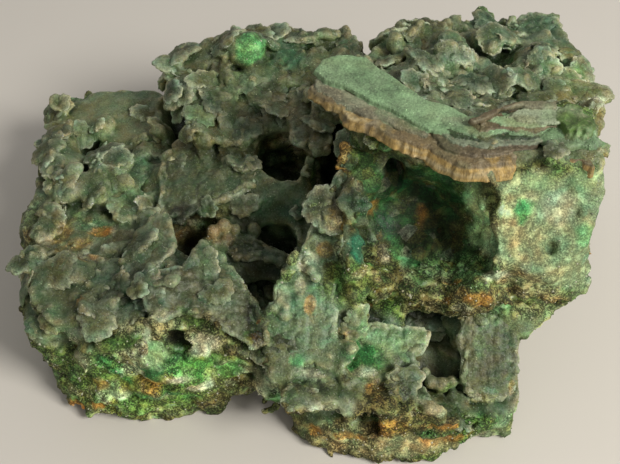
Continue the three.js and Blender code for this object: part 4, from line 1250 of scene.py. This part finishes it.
def makeLedge():
    plan = ledgeGrid
    axes = axisPoints(plan["low"], plan["high"], plan["voxel"])
    x, y, z = np.meshgrid(*axes, indexing="ij")
    bend, fibre = noiseSum(axes, plan["bend"], 90), noiseSum(axes, plan["fibre"], 92)
    layering, rise = noiseSum(axes, plan["layering"], 94), noiseSum(axes, plan["rise"], 95)
    samples, leaves = np.full(x.shape, far, np.float32), []
    for leaf in ledgeLeaves:
        top, bottom = facePlane(leaf["top"], x, y) + rise, facePlane(leaf["bottom"], x, y) + rise
        rough = leaf["fibre"] * fibre + 0.35 * leaf["fibre"] * layering + bend * min(1, 4 * leaf["fibre"])
        wall = planDistance(leaf["outline"], x, y) + leaf["lean"] * (z - top) + rough
        faces = np.maximum(z - top - 0.25 * leaf["fibre"] * fibre, bottom - z)
        leaves.append(smoothMax(wall, faces, 0.25))
        samples = np.minimum(samples, leaves[-1])
    samples += 0.05 * gridNoise(axes, 0.5, 96) + 0.12 * np.abs(gridNoise(axes, 1.1, 97))
    ledge = meshedField("ledgeLayers", samples, axes, plan["triangles"])
    points = meshPoints(ledge)
    nearest = np.argmin([readAt(leaf, axes, points) for leaf in leaves], axis=0)
    grain, streak = readAt(fibre, axes, points), readAt(layering, axes, points)
    names = np.array([leaf["finish"] for leaf in ledgeLeaves])[nearest]
    golden, plainSlab = names == "gold", nearest == [leaf["finish"] for leaf in ledgeLeaves].index("slab")

    def ownValues(key):
        return np.array([finishes[leaf["finish"]][key] for leaf in ledgeLeaves])[nearest]

    tint = ownValues("tone") * (1 + 0.35 * grain + 0.3 * streak)[:, None]
    russet = golden * smoothStep(-0.1, 0.5, streak + 0.6 * grain + 0.6 * (points[:, 2] - 40.9))
    tint = blend(tint, toneOf("umber"), 0.9 * russet)
    tint = blend(tint, toneOf("cream"), 0.4 * golden * smoothStep(0.2, 0.8, -streak + 0.4 * grain))
    for seed, (name, most) in enumerate(plan["patches"]):
        patchy = readAt(gridNoise(axes, plan["patchWidth"], 98 + seed), axes, points)
        share = most * smoothStep(0.15, 0.6, patchy + 0.3 * streak)
        tint = blend(tint, toneOf(name), share * (1 - 0.7 * golden) * (1 - 0.6 * plainSlab))
    return ledge, {"tint": np.clip(tint, 0.004, 0.9), "grit": ownValues("grit"), "crust": ownValues("crust")}


# How finishes mingle, later ones over earlier ones: a finish, how strongly it shows, from and to
# where on its noise, the noise's width, seed and sign, and how far it is frayed.
crustMix = [
    ("blue druse", 1.0, 0.0, 0.5, (10, 30, 1), 0.3),
    ("olive", 0.7, 0.15, 0.6, (8, 31, 1), 0.3),
    ("gray", 0.7, 0.1, 0.5, (10, 30, -1), 0.4),
    ("teal", 0.4, 0.2, 0.6, (4.2, 37, 1), 0.5),
    ("mint", 0.5, 0.25, 0.6, (3.6, 38, 1), 0.4),
    ("olive", 0.5, 0.2, 0.6, (2.6, 39, 1), 0.3),
    ("pale", 0.4, 0.2, 0.6, (3.2, 32, 1), 0.0),
]
stoneMix = [
    ("moss", 1.0, -0.1, 0.35, (10, 30, 1), 0.5),
    ("tan", 0.7, 0.2, 0.55, (8, 31, -1), 0.6),
    ("vivid", 0.8, 0.25, 0.55, (5, 34, 1), 0.4),
    ("rust", 0.7, 0.35, 0.6, (4, 35, 1), 0.3),
    ("chalk", 0.6, 0.35, 0.6, (3, 36, 1), 0.3),
]
rockPaint = {
    # painted shade on the tops of the crust and painted light on faces turned to the front
    "topsPaintedShade": 0.4, "frontsPaintedLight": 0.4,
    # the strength of the pale edges and of the painted shade in creases, folds and hollows
    "paleEdgeAndPaintedLight": 0.45, "creasePaintedShade": 0.75, "foldPaintedShade": 0.9, "hollowPaintedShade": 0.97,
    # the alcove gets less painted shade than the other hollows
    "alcove": ((17, -10, 30), (11, 10, 9)),  # kept lighter than the other hollows: a place and half-lengths
}


# Tint, speckle and crust share of the rock at a piece's points. A flake or sheet also has a rim, from
# 0 inside to 1 at its edge, and a tone of its own.
def paintRock(piece, rim=None, own=None):
    plan = rockPaint
    points, up = meshPoints(piece), meshNormals(piece)

    def patchy(spacing, seed):
        return readAt(gridNoise(coarse, spacing, seed), coarse, points)

    finely = patchy(3.2, 32)
    ragged = readAt(gridNoise(fine, 0.9, 45), fine, points)
    fray = 0.5 * finely + 0.35 * patchy(1.9, 33) + 0.35 * ragged

    def mingled(first, mix):
        tint = np.tile(toneOf(first), (len(points), 1))
        for name, strength, low, high, (width, seed, sign), frayed in mix:
            noise = sign * patchy(width, seed) + frayed * fray
            tint = blend(tint, toneOf(name), strength * smoothStep(low, high, noise))
        return tint

    skin, stone = mingled("druse", crustMix), mingled("brown", stoneMix)
    onCrust = np.clip(readAt(crust, coarse, points) + 0.3 * fray, 0, 1)
    if own is not None:
        skin = blend(skin, own, np.full(len(points), 0.8))
        onCrust = np.maximum(onCrust, 0.8)
    tint = blend(stone, skin, onCrust)
    grit = 1 - 0.85 * onCrust
    # the patches, the painted shade of the 'deep' ones among them
    for patch in patches:
        near = np.abs(points - np.array(patch[1])).max(1) < 1.7 * max(patch[2])
        share = np.zeros(len(points))
        share[near] = patchShare(patch, points[near], fray[near])
        tint = blend(tint, toneOf(patch[0]), share)
        grit += (finishes[patch[0]]["grit"] - grit) * share
    # Painted light and shade: crust tops darker and faces turned to the front lighter, as the light falls.
    tops, fronts = smoothStep(0.2, 0.8, up[:, 2]) * onCrust, smoothStep(0.3, 0.8, -up[:, 1])
    tint *= (1 - plan["topsPaintedShade"] * tops + plan["frontsPaintedLight"] * fronts)[:, None]
    # how shut in each point is: painted shade in hollows and in creases of the crust, and its edges pale
    inside = rock < 0
    cave = readAt(solidShare(inside[::3, ::3, ::3], 5), [axis[::3] for axis in fine], points)
    if rim is None:
        convex = readAt(solidShare(inside, 2), fine, points)
        wide = readAt(solidShare(inside, 7), fine, points)
        # pale edges of the crust: partly its own pale rims, partly painted light through thin edges
        tint = blend(tint, toneOf("cream"), plan["paleEdgeAndPaintedLight"] * onCrust * smoothStep(0.47, 0.3, convex))
        # painted shade in the creases and folds of the crust
        tint = blend(tint, toneOf("dark"), plan["creasePaintedShade"] * onCrust * smoothStep(0.53, 0.66, convex))
        tint = blend(tint, 0.5 * toneOf("dark"), plan["foldPaintedShade"] * onCrust * smoothStep(0.54, 0.68, wide))
    else:
        # pale rims of flakes and sheets: partly their own colour, partly painted light through thin edges
        tint = blend(tint, toneOf("rim"), 0.8 * rim * smoothStep(-0.7, 0.3, finely))
    # painted shade deep in the hollows, less of it in the alcove
    inAlcove = smoothStep(1.3, 0.7, spotDistance(*points.T, *plan["alcove"]))
    shut = plan["hollowPaintedShade"] * (1 - 0.8 * inAlcove) * smoothStep(0.62, 0.76, cave)
    tint = blend(tint, 0.2 * toneOf("dark"), shut)
    # painted light and shade, region by region
    for middle, half, times in paintedLightAndShade:
        share = smoothStep(1.25, 0.55, spotDistance(*points.T, middle, half) + 0.4 * fray)
        tint *= (times ** share)[:, None]
    return {"tint": np.minimum(tint, 0.8), "grit": grit, "crust": onCrust}


# Spots spread evenly over a mesh, a gap apart, and fewer where share is below one.
def meshSpots(piece, share, gap, draws):
    points, normals, corners = meshPoints(piece), meshNormals(piece), meshTriangles(piece)
    a, b, c = (points[corners[:, n]] for n in range(3))
    area = np.linalg.norm(np.cross(b - a, c - a), axis=1) / 2 * (share[corners].max(1) > 0.02)
    tries = int(5 * area.sum() / gap ** 2)  # more than there is room for
    index = np.searchsorted(np.cumsum(area), draws.uniform(0, area.sum(), tries))
    index = np.minimum(index, len(corners) - 1)
    weights = draws.dirichlet((1, 1, 1), len(index))
    places = (points[corners[index]] * weights[:, :, None]).sum(1)
    cube = ((places - points.min(0)) / gap + draws.uniform(0, 1, 3)).astype(np.int64)
    first = firstInCube(cube)
    shown = share[corners[index[first]]].mean(1) > draws.uniform(0, 1, len(first))
    first = first[shown]
    corner = corners[index[first]]
    normal = (normals[corner] * weights[first][:, :, None]).sum(1)
    normal /= np.maximum(np.linalg.norm(normal, axis=1, keepdims=True), 1e-6)
    return places[first], normal, corner[:, 0]


# Two directions square to each given one.
def crossWays(direction):
    side = np.where(np.abs(direction[:, :1]) < 0.7, [[1.0, 0, 0]], [[0, 1.0, 0]])
    first = np.cross(direction, side)
    first /= np.linalg.norm(first, axis=1, keepdims=True)
    return first, np.cross(direction, first)


# Small three-sided quartz points that sugar the crust, closed and part sunk in it.
sugar = {
    "pieces": ("druseLeft", "druseMiddle", "druseRight"),
    "most": 32500,  # points in each piece
    "gap": 0.42,
    "width": (0.13, 0.26), "height": (0.225, 0.6), "lean": 0.35, "sink": 0.3,  # height in widths
    "lighter": (0.85, 1.3),
    # painted glints: a share of the quartz points painted near white, standing for highlights, and how much
    # lighter
    "paintedGlints": 0.04, "paintedGlintLight": 2.2,  # share of points that are near white, and how much lighter
}


def quartzPoints(places, normals, draws):
    count = len(places)
    width = draws.uniform(*sugar["width"], count)[:, None]
    axis = normals + sugar["lean"] * draws.normal(0, 0.6, (count, 3))
    axis /= np.linalg.norm(axis, axis=1, keepdims=True)
    first, second = crossWays(axis)
    spin = draws.uniform(0, 2 * math.pi, count)
    corners = []
    for n in range(3):
        angle = (spin + n * 2 * math.pi / 3 + draws.uniform(-0.3, 0.3, count))[:, None]
        ring = np.cos(angle) * first + np.sin(angle) * second
        corners.append(places - normals * sugar["sink"] * width + ring * width)
    corners.append(places + axis * width * draws.uniform(*sugar["height"], count)[:, None])
    points = np.stack(corners, 1).reshape(-1, 3)
    faces = np.array([(0, 1, 3), (1, 2, 3), (2, 0, 3), (0, 2, 1)])
    return points, (np.arange(count)[:, None, None] * 4 + faces).reshape(-1, 3)


def addSugar(pieces, finish):
    draws = np.random.default_rng(grid["seed"] + 1)
    places, normals, tints = [], [], []
    for piece, paint in pieces:
        spots, normal, corner = meshSpots(piece, smoothStep(0.25, 0.8, paint["crust"]), sugar["gap"], draws)
        places.append(spots)
        normals.append(normal)
        tints.append(paint["tint"][corner])
    places, normals, tints = (np.concatenate(one) for one in (places, normals, tints))
    high = places[:, 2] > floorGap
    places, normals, tints = places[high], normals[high], tints[high]
    report(f"{len(places)} places for quartz points")
    total = min(len(places), sugar["most"] * len(sugar["pieces"]))
    kept = draws.permutation(len(places))[:total]
    kept = kept[np.argsort(places[kept, 0])]
    for name, part in zip(sugar["pieces"], np.array_split(kept, len(sugar["pieces"]))):
        points, faces = quartzPoints(places[part], normals[part], draws)
        piece = newMesh(name, points, faces)
        lighter = draws.uniform(*sugar["lighter"], len(part))[:, None]
        # painted glints: a few points painted much lighter
        lighter = lighter + sugar["paintedGlintLight"] * (draws.uniform(0, 1, (len(part), 1)) < sugar["paintedGlints"])
        tint = np.clip(tints[part] * lighter + 0.01, 0, 0.9)
        dress(piece, {"tint": np.repeat(tint, 4, axis=0)}, finish)
        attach(piece, "root")
        report(f"{name}: {len(part)} quartz points")


# Grains stuck on the broken rock, each a crooked eight-sided crumb.
crumbs = {
    "most": 12000, "gap": 1.0, "size": (0.12, 0.34), "sink": 0.3, "own": 0.06,
    "kinds": {"brown": 4, "moss": 4, "vivid": 3, "tan": 4, "chalk": 4, "rust": 2, "bright": 2, "mint": 2,
              "dark": 3},
}


def addCrumbs(piece, paint, finish):
    draws = np.random.default_rng(grid["seed"] + 2)
    share = smoothStep(0.55, 0.2, paint["crust"]) * (1 - 0.8 * calmShare(*meshPoints(piece).T))
    places, normals, corner = meshSpots(piece, share, crumbs["gap"], draws)
    report(f"{len(places)} places for crumbs")
    kept = draws.permutation(len(places))[:crumbs["most"]]
    kept = kept[places[kept, 2] > floorGap]
    places, normals, tints = places[kept], normals[kept], paint["tint"][corner[kept]]
    count = len(kept)
    size = draws.uniform(*crumbs["size"], count)[:, None]
    first, second = crossWays(normals)
    spin = draws.uniform(0, 2 * math.pi, count)[:, None]
    first, second = np.cos(spin) * first + np.sin(spin) * second, np.cos(spin) * second - np.sin(spin) * first
    middle = places - normals * size * crumbs["sink"]
    corners = []
    for way in (first, second, -first, -second, normals, -normals):
        tip = middle + way * size * draws.uniform(0.55, 1.25, (count, 1))
        corners.append(tip + 0.15 * size * draws.normal(0, 1, (count, 3)))
    points = np.stack(corners, 1).reshape(-1, 3)
    faces = np.array([(n, (n + 1) % 4, 4) for n in range(4)] + [((n + 1) % 4, n, 5) for n in range(4)])
    faces = (np.arange(count)[:, None, None] * 6 + faces).reshape(-1, 3)
    made = newMesh("matrixCrumbs", points, faces)
    kinds = np.array([toneOf(name) for name in crumbs["kinds"]])
    chance = np.array(list(crumbs["kinds"].values()), float)
    own = kinds[draws.choice(len(kinds), count, p=chance / chance.sum())]
    bright = smoothStep(0.03, 0.15, tints.mean(1))
    tints = blend(tints, own, crumbs["own"] * bright) * draws.uniform(0.2, 2.0, count)[:, None]
    tints = blend(tints, toneOf("chalk"), bright * draws.choice([0, 0, 0, 0.35, 0.9], count))
    dress(made, {"tint": np.repeat(np.clip(tints, 0, 0.9), 6, axis=0)}, finish)
    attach(made, "root")
    report(f"matrixCrumbs: {count} crumbs")


# Sets a node's sockets, by a link where the value is another node's output.
def fillSockets(tree, node, inputs):
    for socket, value in inputs.items():
        if isinstance(value, bpy.types.NodeSocket):
            tree.links.new(value, node.inputs[socket])
        else:
            node.inputs[socket].default_value = value


def addNode(tree, kind, inputs=None, **settings):
    made = tree.nodes.new(kind)
    for name, value in settings.items():
        setattr(made, name, value)
    fillSockets(tree, made, inputs or {})
    return made


def newFinish(name):
    made = bpy.data.materials.new(name)
    made.use_nodes = True
    tree = made.node_tree
    return made, tree, tree.nodes["Principled BSDF"], addNode(tree, "ShaderNodeTexCoord").outputs["Object"]


def mixed(tree, share, a, b, way="MIX"):
    return addNode(tree, "ShaderNodeMix", {0: share, 6: a, 7: b}, data_type="RGBA", blend_type=way).outputs[2]


def remapped(tree, value, low, high, newLow=0.0, newHigh=1.0):
    return addNode(tree, "ShaderNodeMapRange", {0: value, 1: low, 2: high, 3: newLow, 4: newHigh}).outputs[0]


def multiplied(tree, a, b):
    return addNode(tree, "ShaderNodeMath", {0: a, 1: b}, operation="MULTIPLY").outputs[0]


def added(tree, a, b):
    return addNode(tree, "ShaderNodeMath", {0: a, 1: b}, operation="ADD").outputs[0]


def gray(tree, value):
    return addNode(tree, "ShaderNodeCombineColor", {0: value, 1: value, 2: value}).outputs[0]


def attribute(tree, name, output):
    return addNode(tree, "ShaderNodeAttribute", attribute_name=name).outputs[output]


def bumped(tree, height):
    shape = {"Height": height, "Strength": bumpStrength, "Distance": bumpDepth * mm}
    return addNode(tree, "ShaderNodeBump", shape).outputs[0]


# Noise whose bumps are so many millimetres wide.
def grainNoise(tree, place, width, detail=3.0, stretch=None):
    if stretch:
        place = addNode(tree, "ShaderNodeMapping", {0: place, 3: stretch}).outputs[0]
    return addNode(tree, "ShaderNodeTexNoise", {"Vector": place, "Scale": 1 / (width * mm), "Detail": detail,
                                                "Roughness": 0.6}).outputs[0]


def ramp(tree, value, stops):
    made = addNode(tree, "ShaderNodeValToRGB", {0: value})
    stopsMade = made.color_ramp.elements
    while len(stopsMade) < len(stops):
        stopsMade.new(1.0)
    for stop, (position, tone) in zip(stopsMade, stops):
        stop.position, stop.color = position, (*tone, 1)
    return made.outputs[0]


stoneFinish = {
    "chipWidth": 2.0, "speckWidth": 0.36, "dustWidth": 0.2, "webWidth": 1.8,
    "grainWidth": 0.34, "mottleWidth": 1.7, "tintWidth": 2.4, "clumpWidth": 2.2,
    "chips": [(0.0, (0.045, 0.034, 0.012)), (0.14, (0.095, 0.085, 0.026)), (0.3, (0.018, 0.130, 0.036)),
              (0.45, (0.090, 0.150, 0.035)), (0.58, (0.220, 0.190, 0.070)), (0.7, (0.300, 0.135, 0.025)),
              (0.8, (0.120, 0.260, 0.110)), (0.92, (0.330, 0.330, 0.210)), (1.0, (0.450, 0.460, 0.360))],
    # light: how the speckle lightens the stone; the stone's own grains, and its brightest specks are also
    # painted glints
    "light": [(0.13, (0.24, 0.24, 0.22)), (0.22, (1.1, 1.1, 1.05)), (0.32, (1.8, 1.8, 1.8)),
              (0.5, (2.5, 2.5, 2.5))],
    "fleckFrom": 0.42, "fleckTo": 0.6, "flecks": (0.5, 0.56, 0.42, 1),
    "cool": (0.76, 1.02, 0.94, 1), "warm": (1.14, 1.0, 0.84, 1), "frost": (0.36, 0.41, 0.28, 1),
    "stoneRoughness": 0.8, "crustRoughness": 0.4, "gloss": 0.25,
    "glow": 0.35, "glowReach": (0.9, 1.1, 0.6),  # light that sinks into the crust, reach in millimetres
}
quartzIor = 1.54
bumpStrength, bumpDepth = 0.7, 0.25  # depth in millimetres


# A random value for each small cell, from 0 to 1, and the distance from its middle.
def cellValues(tree, place, width):
    cells = addNode(tree, "ShaderNodeTexVoronoi", {"Vector": place, "Scale": 1 / (width * mm)})
    value = addNode(tree, "ShaderNodeSeparateColor", {0: cells.outputs["Color"]}).outputs[0]
    return value, cells.outputs["Distance"]


def rockFinish():
    plan = stoneFinish
    made, tree, shader, place = newFinish("crust and matrix")
    tint, grit, onCrust = attribute(tree, "tint", 0), attribute(tree, "grit", 2), attribute(tree, "crust", 2)
    mottle = grainNoise(tree, place, plan["mottleWidth"])
    grain = grainNoise(tree, place, plan["grainWidth"], 2.0)
    bent = addNode(tree, "ShaderNodeVectorMath", {0: place, 1: mottle}, operation="ADD").outputs[0]
    bent = addNode(tree, "ShaderNodeMix", {0: 0.0008, 4: place, 5: bent}, data_type="VECTOR").outputs[1]
    chip, _ = cellValues(tree, bent, plan["chipWidth"])
    _, apart = cellValues(tree, place, plan["speckWidth"])
    dust, _ = cellValues(tree, place, plan["dustWidth"])
    webShape = {"Vector": bent, "Scale": 1 / (plan["webWidth"] * mm), "Detail": 3.5, "Roughness": 0.6,
                "Gain": 1.5}
    web = addNode(tree, "ShaderNodeTexNoise", webShape, noise_type="RIDGED_MULTIFRACTAL", normalize=True)
    web = web.outputs[0]
    share = multiplied(tree, grit, remapped(tree, mottle, 0.3, 0.6, 0.05, 0.35))
    tone = mixed(tree, share, tint, ramp(tree, chip, plan["chips"]))
    sown = added(tree, multiplied(tree, web, 0.75), multiplied(tree, dust, 0.25))
    # speckle of the stone's own grains; its brightest specks also stand for painted glints
    tone = mixed(tree, grit, tone, mixed(tree, 1.0, tone, ramp(tree, sown, plan["light"]), "MULTIPLY"))
    plain = addNode(tree, "ShaderNodeRGBToBW", {0: tint}).outputs[0]
    clumps = remapped(tree, grainNoise(tree, place, plan["clumpWidth"], 2.0), 0.42, 0.6)
    flecks = remapped(tree, sown, plan["fleckFrom"], plan["fleckTo"])
    flecks = multiplied(tree, multiplied(tree, grit, clumps), flecks)
    flecks = multiplied(tree, flecks, remapped(tree, plain, 0.02, 0.1, 0.05, 1.0))
    tone = mixed(tree, flecks, tone, plan["flecks"])
    warm = remapped(tree, grainNoise(tree, place, plan["tintWidth"], 1.0), 0.3, 0.7)
    cast = mixed(tree, warm, plan["cool"], plan["warm"])
    tone = mixed(tree, 1.0, tone, cast, "MULTIPLY")
    shade = remapped(tree, grain, 0.25, 0.75, 0.6, 1.4)
    tone = mixed(tree, 1.0, tone, gray(tree, shade), "MULTIPLY")
    frost = multiplied(tree, remapped(tree, mottle, 0.52, 0.7), multiplied(tree, onCrust, 0.3))
    tone = mixed(tree, frost, tone, plan["frost"])
    dull = remapped(tree, onCrust, 0.0, 1.0, plan["stoneRoughness"], plan["crustRoughness"])
    height = added(tree, multiplied(tree, grain, 0.5), multiplied(tree, apart, 0.3))
    height = added(tree, height, multiplied(tree, grit, multiplied(tree, web, 1.5)))
    fillSockets(tree, shader, {
        "Base Color": tone, "Normal": bumped(tree, height),
        "Roughness": added(tree, dull, remapped(tree, grain, 0.3, 0.7, -0.1, 0.1)),
        "IOR": quartzIor, "Specular IOR Level": plan["gloss"],
        "Subsurface Weight": multiplied(tree, onCrust, plan["glow"]),
        "Subsurface Radius": plan["glowReach"], "Subsurface Scale": mm})
    return made


layerFinish = {
    "fibreWidth": 0.35, "fibreStretch": (1, 1, 0.18),
    "bandWidth": 0.4, "bandStretch": (0.12, 0.12, 1),
    "dustWidth": 0.6, "dust": (0.48, 0.42, 0.27, 1), "roughness": 0.6,
}


def ledgeFinish():
    plan = layerFinish
    made, tree, shader, place = newFinish("ledge layers")
    tint, grit = attribute(tree, "tint", 0), attribute(tree, "grit", 2)
    fibres = grainNoise(tree, place, plan["fibreWidth"], 2.0, plan["fibreStretch"])
    bands = grainNoise(tree, place, plan["bandWidth"], 2.0, plan["bandStretch"])
    shade = added(tree, remapped(tree, fibres, 0.3, 0.7, 0.5, 1.1), remapped(tree, bands, 0.3, 0.7, 0.0, 0.4))
    tone = mixed(tree, 1.0, tint, gray(tree, shade), "MULTIPLY")
    dust = remapped(tree, grainNoise(tree, place, plan["dustWidth"]), 0.56, 0.7, 0.0, 0.5)
    tone = mixed(tree, multiplied(tree, grit, dust), tone, plan["dust"])
    bump = bumped(tree, fibres)
    fillSockets(tree, shader, {"Base Color": tone, "Normal": bump, "Roughness": plan["roughness"]})
    return made


grainFinish = {
    "milkWidth": 0.5, "milk": (0.42, 0.48, 0.38, 1),  # on the quartz points
    "grainWidth": 0.2, "roughness": 0.7,  # on the crumbs
}


def sugarFinish():
    made, tree, shader, place = newFinish("quartz sugar")
    tint = attribute(tree, "tint", 0)
    milk = grainNoise(tree, place, grainFinish["milkWidth"], 2.0)
    tone = mixed(tree, remapped(tree, milk, 0.4, 0.75, 0.0, 0.35), tint, grainFinish["milk"])
    dull = remapped(tree, milk, 0.3, 0.7, 0.16, 0.4)
    fillSockets(tree, shader, {"Base Color": tone, "Roughness": dull, "IOR": quartzIor})
    return made


def crumbFinish():
    made, tree, shader, place = newFinish("matrix crumbs")
    grain = grainNoise(tree, place, grainFinish["grainWidth"], 2.0)
    shade = remapped(tree, grain, 0.3, 0.7, 0.6, 1.35)
    tone = mixed(tree, 1.0, attribute(tree, "tint", 0), gray(tree, shade), "MULTIPLY")
    fillSockets(tree, shader, {"Base Color": tone, "Roughness": grainFinish["roughness"]})
    return made


broad, lined = coarseRock()
crust = crustShare(broad, lined)
report("blocks, hollows and crust")
rock = sculptRock(broad, lined, crust)
body = meshedField("specimenRock", rock, fine, grid["triangles"])
bodyPaint, stone = paintRock(body), rockFinish()
dress(body, bodyPaint, stone)
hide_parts("garnierite_specimen")
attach(body, "root")
report("rock painted")

skins = []
for piece, rim, own in (makeFlakes(), makeSheets()):
    paint = paintRock(piece, rim, own)
    dress(piece, paint, stone)
    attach(piece, "root")
    skins.append((piece, paint))

ledge, ledgePaint = makeLedge()
dress(ledge, ledgePaint, ledgeFinish())
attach(ledge, "root")
report("ledge painted")

addSugar([(body, bodyPaint), (ledge, ledgePaint)] + skins, sugarFinish())
addCrumbs(body, bodyPaint, crumbFinish())


# The floor, the lights and the camera, in millimetres and degrees.
studio = {
    "floorTone": (0.65, 0.61, 0.55, 1), "floorRoughness": 0.85, "floorSize": 1600,
    "aim": (0.0, 0.0, 16.0), "elevation": 50.0, "distance": 146.0, "lens": 50.0, "clip": (5, 10000),
    "key": {"at": (300, -200, 330), "size": 180, "power": 2.3, "tint": (1.0, 0.98, 0.93)},
    "fill": {"at": (-150, 240, 260), "size": 260, "power": 0.12, "tint": (0.98, 0.98, 1.0)},
    "sky": 0.3, "skyTone": (1.0, 0.98, 0.95, 1),
}


def pointAt(thing, place, aim):
    thing.location = place
    thing.rotation_euler = (Vector(aim) - Vector(place)).to_track_quat("-Z", "Y").to_euler()


def setStudio():
    bpy.ops.mesh.primitive_plane_add(size=studio["floorSize"] * mm, location=(0, 0, 0))
    floor = bpy.context.object
    floor.name = "floor"
    paint = bpy.data.materials.new("pale floor")
    paint.use_nodes = True
    shader = paint.node_tree.nodes["Principled BSDF"]
    shader.inputs["Base Color"].default_value = studio["floorTone"]
    shader.inputs["Roughness"].default_value = studio["floorRoughness"]
    floor.data.materials.append(paint)
    aim = Vector(studio["aim"]) * mm
    for name in ("key", "fill"):
        plan = studio[name]
        light = bpy.data.lights.new(name, "AREA")
        light.size, light.energy, light.color = plan["size"] * mm, plan["power"], plan["tint"]
        lamp = bpy.data.objects.new(name, light)
        bpy.context.collection.objects.link(lamp)
        pointAt(lamp, Vector(plan["at"]) * mm, aim)
    world = bpy.data.worlds.new("sky")
    world.use_nodes = True
    fillSockets(world.node_tree, world.node_tree.nodes["Background"],
                {"Color": studio["skyTone"], "Strength": studio["sky"]})
    bpy.context.scene.world = world
    camera = bpy.data.objects.new("camera", bpy.data.cameras.new("camera"))
    bpy.context.collection.objects.link(camera)
    camera.data.lens = studio["lens"]
    camera.data.clip_start, camera.data.clip_end = (reach * mm for reach in studio["clip"])
    tilt = math.radians(studio["elevation"])
    back = Vector((0, -math.cos(tilt), math.sin(tilt))) * studio["distance"] * mm
    pointAt(camera, aim + back, aim)
    bpy.context.scene.camera = camera
    bpy.context.scene.view_settings.view_transform = "Standard"


setStudio()
report("studio set")
